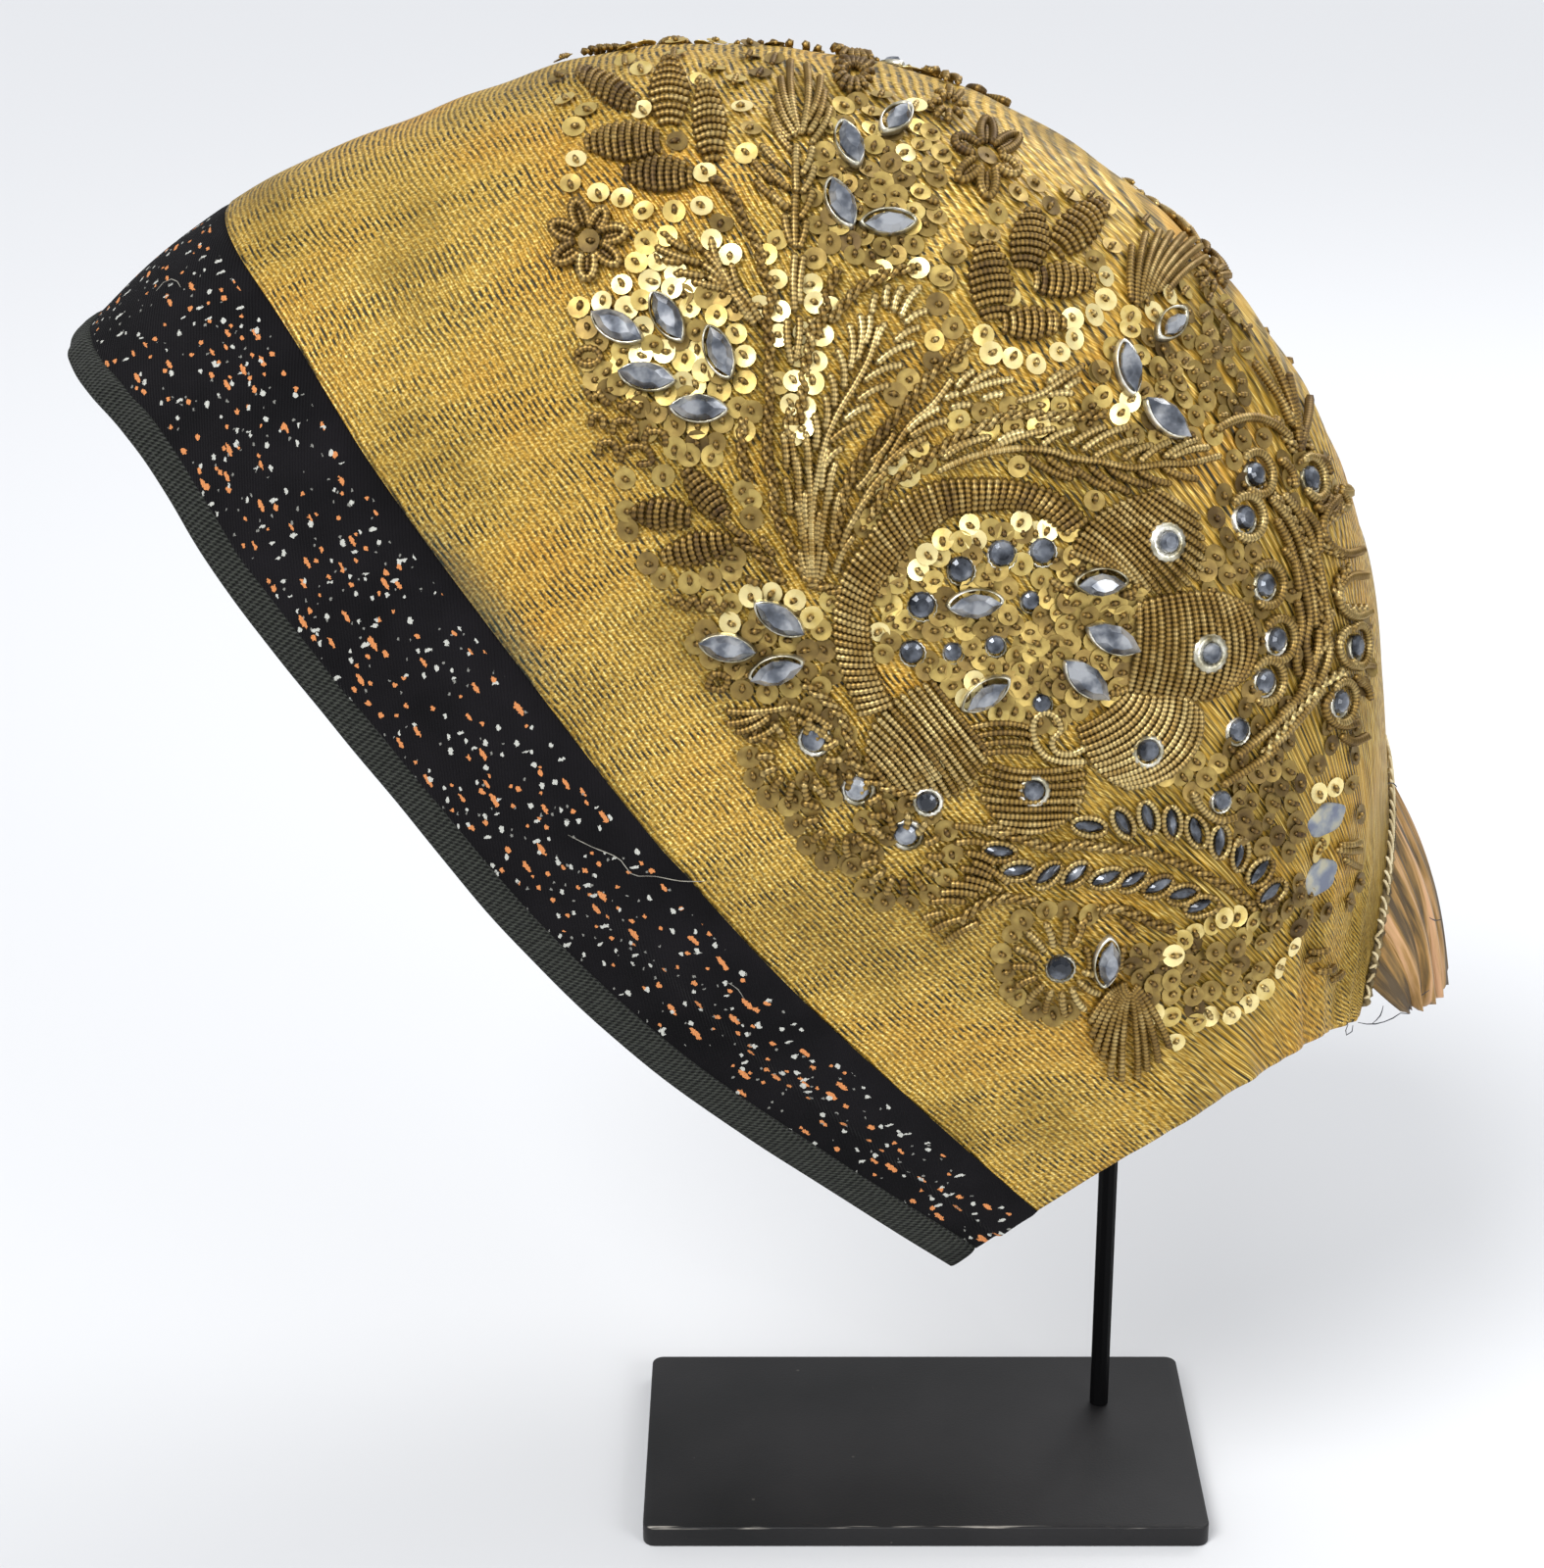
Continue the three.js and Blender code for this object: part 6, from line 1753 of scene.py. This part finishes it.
class COIF_OT_stones(bpy.types.Operator):
    """Adds the round stones, the ears' small stones, the foil cups and the worn discs."""

    bl_idname = "coif.stones"
    bl_label = "Stones and foil"

    def execute(self, context):
        settings = context.scene.coif_metal
        glass, foil = glass_material(settings), foil_material(settings)
        small = find_on_cloth(spots(SMALL_STONES))
        station = np.append(ROUND_STONES["station"], small[0])
        across = np.append(-ROUND_STONES["across"], small[1])
        radius, ring, tint = (
            np.append(ROUND_STONES[key], SMALL_STONES[key]) for key in ("radius", "foil", "tint")
        )
        lift = np.append(ROUND_STONES["lift"], np.zeros(len(SMALL_STONES["x"])))
        seats = seats_on(station, across, lift=lift)
        # Round stone: girdle at the full radius, table at half of it, 1.9 mm high.
        wide = radius[:, None] * np.array([1.0, 1.0, 0.86, 0.52])
        points, faces, each = stamped(seats, circle(12), wide, [-1.4, 1.0, 1.5, 1.85], closed=False)
        rounds = (points, faces, {"tint": np.repeat(tint, each)})
        ears = seats_at(spots(EARS), np.radians(EARS["turn"]))
        points, faces, each = stamped(
            ears, pointed_oval(*EAR_STONE), [1.0, 1.0, 0.5], [-0.2, 0.6, 1.2], closed=False
        )
        small_stones = (points, faces, {"tint": np.full(len(points), 0.75)})
        shape = joined([rounds, small_stones])
        both_sides("round_stones", shape, glass, "foiled_glass", smooth=False)
        # A foil ring under 1 mm wide is a cup that shows at one side of its stone as a crescent.
        middle, along, beside, out = seats
        aside = np.where(ring < 1, 0.5, 0.0)[:, None]
        cups = (middle - along * aside - out * aside * 0.5, along, beside, out)
        inner, outer = radius[:, None], (radius + ring)[:, None]
        wide = np.concatenate([inner * 0.98, inner * 1.04, outer, outer * 1.06], axis=1)
        rims = stamped(cups, circle(32, 16, 0.035), wide, [-1.4, 1.15, 0.8, -1.4], closed=True)
        shapes, worn = [(*rims[:2], {})], []
        for row in zip(*WORN_DISCS.values()):
            seat = seats_at([row[:2]])
            outline = circle(28, 5, 0.05) * np.array([row[3], row[2]])
            disc = stamped(seat, outline, [1.0, 1.0, 0.93, 0.4], [-0.8, 0.8, 1.0, 0.9], closed=False)
            worn.append((*disc[:2], {}))
        both_sides("worn_discs", joined(worn), worn_foil_material(), "foiled_glass")
        shapes += [
            navette_cup(node) for name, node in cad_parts.items() if name.startswith("navette_near")
        ]
        both_sides("foil_cups", joined(shapes), foil, "foiled_glass")
        for name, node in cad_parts.items():
            if name.startswith("navette_"):
                node.data.materials.clear()
                node.data.materials.append(glass)
        return {"FINISHED"}


def navette_cup(node):
    """Foil cup of a pointed stone: hoops of its outline whose axes are the stone's own."""
    corners = np.empty(len(node.data.vertices) * 3, np.float32)
    node.data.vertices.foreach_get("co", corners)
    corners = np.unique(np.round(corners.reshape(-1, 3) / MM, 3), axis=0)
    middle = (corners.min(axis=0) + corners.max(axis=0)) / 2
    _, _, axes = np.linalg.svd(corners - corners.mean(axis=0), full_matrices=False)
    along, beside, out = axes
    if out @ (middle - np.array([middle[0], 0.0, middle[2] - 60])) < 0:
        out = -out
    depth = (corners - middle) @ out
    base = corners[depth < depth.min() + 0.2].mean(axis=0)
    beside = np.cross(out, along)
    up = np.array([0.0, 0.0, 0.2])
    seat = (base + up - 0.35 * np.sign(beside[0]) * beside)[None], along[None], beside[None], out[None]
    outline = pointed_oval(*NAVETTE, 24)
    cup = stamped(seat, outline, [0.96, 0.99, 1.08, 1.14], [-0.8, 0.55, 0.4, -0.8], closed=True)
    return (*cup[:2], {})


# Threads


# Loose threads of the picture: at the nape's tip, and on the band's cloth.
FRAYED = [
    [
        (1385, 1043), (1398, 1045), (1410, 1043), (1422, 1038), (1430, 1033), (1438, 1034), (1438, 1028),
        (1432, 1020)
    ],
    [(1375, 1045), (1372, 1056), (1378, 1054), (1380, 1046)],
    [(1425, 1013), (1433, 1017), (1446, 1017), (1458, 1010)], [(1400, 1044), (1408, 1036), (1411, 1026)],
    [(1458, 936), (1464, 939), (1470, 938)], [(1415, 799), (1421, 799), (1425, 803)]
]
BAND_THREADS = [
    [(163, 300), (171, 291), (182, 288), (188, 296)],
    [(580, 850), (604, 862), (634, 876), (645, 890), (668, 892), (696, 897), (720, 897)],
    [(742, 1000), (752, 1006), (760, 1018)]
]


def from_picture(places, side):
    """Points in the frame that show at the picture's places and stand at the given side distance."""
    places = np.asarray(places, float)
    right = (places[:, 0] - PICTURE[0] / 2) / CAMERA_FOCAL
    high = (PICTURE[1] / 2 - places[:, 1]) / CAMERA_FOCAL
    cos, sin = math.cos(CAMERA_PITCH), math.sin(CAMERA_PITCH)
    depth = (side - CAMERA_PLACE[1]) / (cos + high * sin)
    back = depth * (cos + high * sin)
    return CAMERA_PLACE + np.stack([right * depth, back, depth * (high * cos - sin)], axis=-1)


class COIF_OT_threads(bpy.types.Operator):
    """Adds the whip stitches and rolled cord of the nape, and the loose threads."""

    bl_idname = "coif.threads"
    bl_label = "Threads"

    def execute(self, context):
        rng = np.random.default_rng(14)
        fine = np.linspace(-0.975, 0.975, 400)
        seam = cloth_point(0.998, fine)
        run = run_along(seam)
        back, _, out, _ = cloth_axes(0.998, fine)
        cord = Purls(1.3)
        for phase in (0.0, np.pi):
            cord.place(seam + back * 1.1, out, 0.8, lift=-0.35, swing=0.45, wave=4.2, phase=phase)
        # One stitch at each spacing: from the cloth over the seam onto the cord.
        stitches = Purls(0.6)
        for reach in np.arange(1.5, run[-1] - 1, STITCH_SPACING):
            across = np.interp(reach + rng.normal(0, 0.25), run, fine)
            slant = rng.normal(0.012, 0.006)
            station = np.linspace(0.972, 0.998, 6)
            turned = across + slant * np.linspace(-1, 1, 6)
            ahead, _, up, _ = cloth_axes(station, turned)
            line = cloth_point(station, turned)
            last = line[-1] + ahead[-1] * 1.5
            stitches.place(
                np.concatenate([line, last[None]]), np.concatenate([up, up[-1:]]), 0.36, lift=0.15, rise=0.6
            )
        frayed = Purls(3.0, sides=4)
        edge = gather_face(np.ones(1), np.full(1, -0.85))[0]
        toward = np.array([0.0, -1.0, 0.0])
        for places in FRAYED:
            line = from_picture(smooth_line(places, 2.0), edge[1])
            frayed.place(line, np.broadcast_to(toward, line.shape), 0.14)
        loops = Purls(3.0, sides=4)
        for places in BAND_THREADS:
            loops.lay(smooth_line(places, 2.0), 0.5, 0.1, lift=0.9)
        pieces = [
            ("nape_cord", cord, thread_material("rolled_silk_cord", "#4a3d26", "#8c7a52")),
            ("whip_stitches", stitches, thread_material("whip_stitch_thread", "#b8a67c", "#e2d4ae")),
            ("frayed_threads", frayed, thread_material("frayed_thread", "#23252c", "#4a4c54")),
            ("band_threads", loops, thread_material("pale_thread", "#6f6c64", "#a5a296"))
        ]
        for name, lengths, material in pieces:
            points, faces, attributes = lengths.build()
            settle(build_mesh(name, points, faces, material, attributes=attributes), "striped_silk")
        return {"FINISHED"}


# Stand


def paint_material(name, settings, dust_share, shine):
    """Black powder paint on steel: satin, with a faint dust and pale scratches where an edge is worn."""
    material, tree = new_material(name)
    place = add_node(tree, "TexCoord").outputs["Object"]
    halves = add_node(tree, "SeparateXYZ", {"Vector": place})
    # The worn edge: within about 0.5 mm of the plate's front and of its top.
    front = add_node(
        tree, "MapRange", {"Value": halves.outputs["Y"], "From Min": -0.0462, "From Max": -0.0466}
    )
    high = add_node(tree, "MapRange", {"Value": halves.outputs["Z"], "From Min": 0.0041, "From Max": 0.0044})
    worn = add_node(tree, "Math", [front, high], operation="MULTIPLY")
    long = add_node(tree, "Mapping", {"Vector": place, "Scale": (60.0, 900.0, 900.0)})
    streak = add_node(tree, "TexNoise", {"Vector": long, "Scale": 1.0, "Detail": 4.0})
    scratch = add_node(
        tree, "MapRange", {"Value": streak, "From Min": 0.52, "From Max": 0.66},
        interpolation_type="SMOOTHSTEP"
    )
    mask = add_node(tree, "Math", [scratch, worn], operation="MULTIPLY")
    dust = add_node(tree, "TexNoise", {"Vector": place, "Scale": 25.0, "Detail": 6.0})
    settled = add_node(tree, "Math", [dust, dust_share], operation="MULTIPLY")
    ground = add_node(
        tree, "ValToRGB", {"Fac": settled}, stops=[(0.35, settings.paint), (0.7, settings.paint_dusty)]
    )
    specks = add_node(tree, "TexVoronoi", {"Vector": place, "Scale": 110.0})
    speck = add_node(tree, "Math", [specks, 0.035], operation="LESS_THAN")
    faint = add_node(tree, "Math", [speck, 0.25 * dust_share], operation="MULTIPLY")
    dotted = add_node(tree, "Mix", {"Factor": faint, 6: ground, 7: linear("#77736d")}, data_type="RGBA")
    colour = add_node(
        tree, "Mix", {"Factor": mask, 6: dotted.outputs[2], 7: settings.scratch}, data_type="RGBA"
    )
    peel = add_node(tree, "TexNoise", {"Vector": place, "Scale": 1800.0, "Detail": 2.0})
    bump = add_node(tree, "Bump", {"Strength": 0.25, "Distance": 0.0001, "Height": peel})
    shader = add_node(
        tree, "BsdfPrincipled",
        {"Base Color": colour.outputs[2], "Roughness": 0.48, "Specular IOR Level": shine, "Normal": bump}
    )
    add_node(tree, "OutputMaterial", {"Surface": shader})
    return material


class CoifStand(bpy.types.PropertyGroup):
    """Sizes and colours of the stand."""

    bevel: length_property("Edge bevel", "Round of the plate's long edges", 0.45)
    corner: length_property("Corner", "Radius of the plate's upright corners", 2.5)
    paint: colour_property("Paint", "Black paint", "#0b0b0c")
    paint_dusty: colour_property("Dusty paint", "Paint under dust", "#1d1c1d")
    scratch: colour_property("Scratch", "Worn edge", "#9a958d")


def plate_mesh(low, high, corner, bevel, material):
    """Plate from its box: rings of a rounded rectangle, drawn in by the bevel at top and bottom.

    The ring at inset d is the corner centre + (corner - d) (cos, sin) over the four quarter turns.
    """
    steps = 8
    turn = np.linspace(0, np.pi / 2, steps)
    quarter = np.concatenate([turn + k * np.pi / 2 for k in range(4)])
    right = np.repeat([1, 0, 0, 1], steps)
    rear = np.repeat([1, 1, 0, 0], steps)
    centre_x = np.where(right, high[0] - corner, low[0] + corner)
    centre_y = np.where(rear, high[1] - corner, low[1] + corner)
    angle = np.linspace(0, np.pi / 2, 5)
    insets = np.concatenate([bevel * (1 - np.sin(angle)), bevel * (1 - np.cos(angle))])
    levels = np.concatenate([low[2] + bevel * (1 - np.cos(angle)), high[2] - bevel * (1 - np.sin(angle))])
    reach = (corner - insets)[:, None]
    points = np.stack(
        [
            centre_x[None] + reach * np.cos(quarter)[None], centre_y[None] + reach * np.sin(quarter)[None],
            np.broadcast_to(levels[:, None], (len(levels), len(quarter)))
        ],
        axis=-1
    ).reshape(-1, 3)
    count = len(quarter)
    ends = [np.arange(count)[None, ::-1], np.arange(count)[None] + (len(levels) - 1) * count]
    faces = outward(points, [grid_faces(len(levels), count, wrap=True), *ends])
    return build_mesh("stand_plate", points, faces, material)


class COIF_OT_stand(bpy.types.Operator):
    """Adds the painted plate with softened, worn edges, and finishes the rod."""

    bl_idname = "coif.stand"
    bl_label = "Stand"

    def execute(self, context):
        settings = context.scene.coif_stand
        material = paint_material("black_satin_paint", settings, 1.0, 0.35)
        low, high = (np.array(corner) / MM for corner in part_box("stand_base"))
        made = plate_mesh(low, high, settings.corner / MM, settings.bevel / MM, material)
        settle(made, "black_paint", "stand_base")
        rod = rod_copy(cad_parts["stand_post"], paint_material("black_rod_paint", settings, 0.2, 0.05))
        settle(rod, "black_paint", "stand_post")
        return {"FINISHED"}


def rod_copy(node, material):
    """The rod and pad with their loose triangles merged, shaded smooth up to 35 degrees."""
    mesh = node.data.copy()
    mesh.name = "stand_rod"
    mesh.transform(node.matrix_world)
    shape = bmesh.new()
    shape.from_mesh(mesh)
    bmesh.ops.remove_doubles(shape, verts=shape.verts, dist=0.02 * MM)
    bmesh.ops.recalc_face_normals(shape, faces=shape.faces)
    for face in shape.faces:
        face.smooth = True
    for edge in shape.edges:
        edge.smooth = edge.calc_face_angle(0) < math.radians(35)
    shape.to_mesh(mesh)
    shape.free()
    mesh.materials.clear()
    mesh.materials.append(material)
    return add_object("stand_rod", mesh)


# Stage


class CoifStage(bpy.types.PropertyGroup):
    """Floor and lights."""

    floor: colour_property("Floor", "Pale floor", "#cfd0d2")
    key: bpy.props.FloatProperty(name="Key light", description="Strength of the soft key light", default=2.6)
    fill: bpy.props.FloatProperty(
        name="Fill light", description="Power of the side light in watts", default=5.0
    )
    sky: bpy.props.FloatProperty(name="Sky", description="Strength of the light from overhead", default=0.85)
    sides: bpy.props.FloatProperty(name="Sides", description="Strength of the light from around", default=0.3)


class COIF_OT_stage(bpy.types.Operator):
    """Adds the pale floor, the soft lights and the camera."""

    bl_idname = "coif.stage"
    bl_label = "Stage"

    def execute(self, context):
        settings = context.scene.coif_stage
        material, tree = new_material("pale_floor")
        shader = add_node(tree, "BsdfPrincipled", {"Base Color": settings.floor, "Roughness": 0.9})
        add_node(tree, "OutputMaterial", {"Surface": shader})
        ways = [(-1, -1, 0), (1, -1, 0), (1, 1, 0), (-1, 1, 0)]
        corners = FLOOR_HALF * np.array(ways)
        floor = build_mesh("floor", corners, [np.array([[0, 1, 2, 3]])], material, smooth=False)
        lights = [
            ("key", "SUN", (-0.55, -0.75, 1.1), math.radians(28), settings.key),
            ("fill", "AREA", (0.75, -0.85, 0.55), 0.5, settings.fill),
            ("rim", "AREA", (0.5, 0.5, 0.9), 0.6, settings.fill)
        ]
        for name, kind, place, size, power in lights:
            lamp = bpy.data.lights.new(name, kind)
            if kind == "SUN":
                lamp.angle = size
            else:
                lamp.size = size
            lamp.energy = power
            made = add_object(name, lamp)
            made.location = place
            toward = Vector((0.0, 0.0, 0.17)) - Vector(place)
            made.rotation_euler = toward.to_track_quat("-Z", "Y").to_euler()
        # The sky is bright overhead and dim at the sides, as soft boxes in a dark room are.
        world = bpy.data.worlds.new("studio")
        world.use_nodes = True
        sky = world.node_tree
        sky.nodes.clear()
        way = add_node(sky, "TexCoord")
        height = add_node(sky, "SeparateXYZ", {"Vector": way.outputs["Generated"]})
        strength = add_node(
            sky, "MapRange",
            {
                "Value": height.outputs["Z"], "From Min": 0.05, "From Max": 0.75, "To Min": settings.sides,
                "To Max": settings.sky
            },
            interpolation_type="SMOOTHSTEP"
        )
        light = add_node(sky, "Background", {"Color": linear("#f6f8fc"), "Strength": strength})
        add_node(sky, "OutputWorld", {"Surface": light})
        context.scene.world = world
        context.scene.view_settings.view_transform = "Standard"
        camera = bpy.data.cameras.new("camera")
        camera.sensor_width = SENSOR_WIDTH
        camera.lens = SENSOR_WIDTH * CAMERA_FOCAL / PICTURE[1]
        camera.clip_start = 0.01
        camera.clip_end = 50
        made = add_object("camera", camera)
        made.location = tuple(CAMERA_PLACE * MM)
        made.rotation_euler = (math.pi / 2 - CAMERA_PITCH, 0.0, 0.0)
        context.scene.camera = made
        return {"FINISHED"}


class COIF_PT_panel(bpy.types.Panel):
    """Lists the coif's sizes, colours and pieces."""

    bl_label = "Beaded coif"
    bl_idname = "COIF_PT_panel"
    bl_space_type = "VIEW_3D"
    bl_region_type = "UI"
    bl_category = "Coif"

    def draw(self, context):
        for group in (getattr(context.scene, name) for name in SETTINGS):
            box = self.layout.box()
            for name in group.bl_rna.properties.keys():
                if name not in ("rna_type", "name"):
                    box.prop(group, name)
        for operator in OPERATORS:
            self.layout.operator(operator.bl_idname)


SETTINGS = {
    "coif_cloth": CoifCloth, "coif_metal": CoifMetal, "coif_stand": CoifStand, "coif_stage": CoifStage
}
OPERATORS = [
    COIF_OT_crown,
    COIF_OT_face_band,
    COIF_OT_edge_binding,
    COIF_OT_nape_gather,
    COIF_OT_satin,
    COIF_OT_purl,
    COIF_OT_sequins,
    COIF_OT_stones,
    COIF_OT_threads,
    COIF_OT_stand,
    COIF_OT_stage,
]


def register():
    """Registers the classes and hangs the settings on the scene."""
    for each in [*SETTINGS.values(), *OPERATORS, COIF_PT_panel]:
        bpy.utils.register_class(each)
    for name, group in SETTINGS.items():
        setattr(bpy.types.Scene, name, bpy.props.PointerProperty(type=group))


def unregister():
    """Takes the settings and the classes away again."""
    for name in SETTINGS:
        delattr(bpy.types.Scene, name)
    for each in [COIF_PT_panel, *reversed(OPERATORS), *SETTINGS.values()]:
        bpy.utils.unregister_class(each)


def main():
    """Adds every piece in order."""
    register()
    bpy.ops.coif.crown()
    bpy.ops.coif.face_band()
    bpy.ops.coif.edge_binding()
    bpy.ops.coif.nape_gather()
    bpy.ops.coif.satin()
    bpy.ops.coif.purl()
    bpy.ops.coif.sequins()
    bpy.ops.coif.stones()
    bpy.ops.coif.threads()
    bpy.ops.coif.stand()
    bpy.ops.coif.stage()
    bpy.context.view_layer.update()


if __name__ == "__main__":
    main()
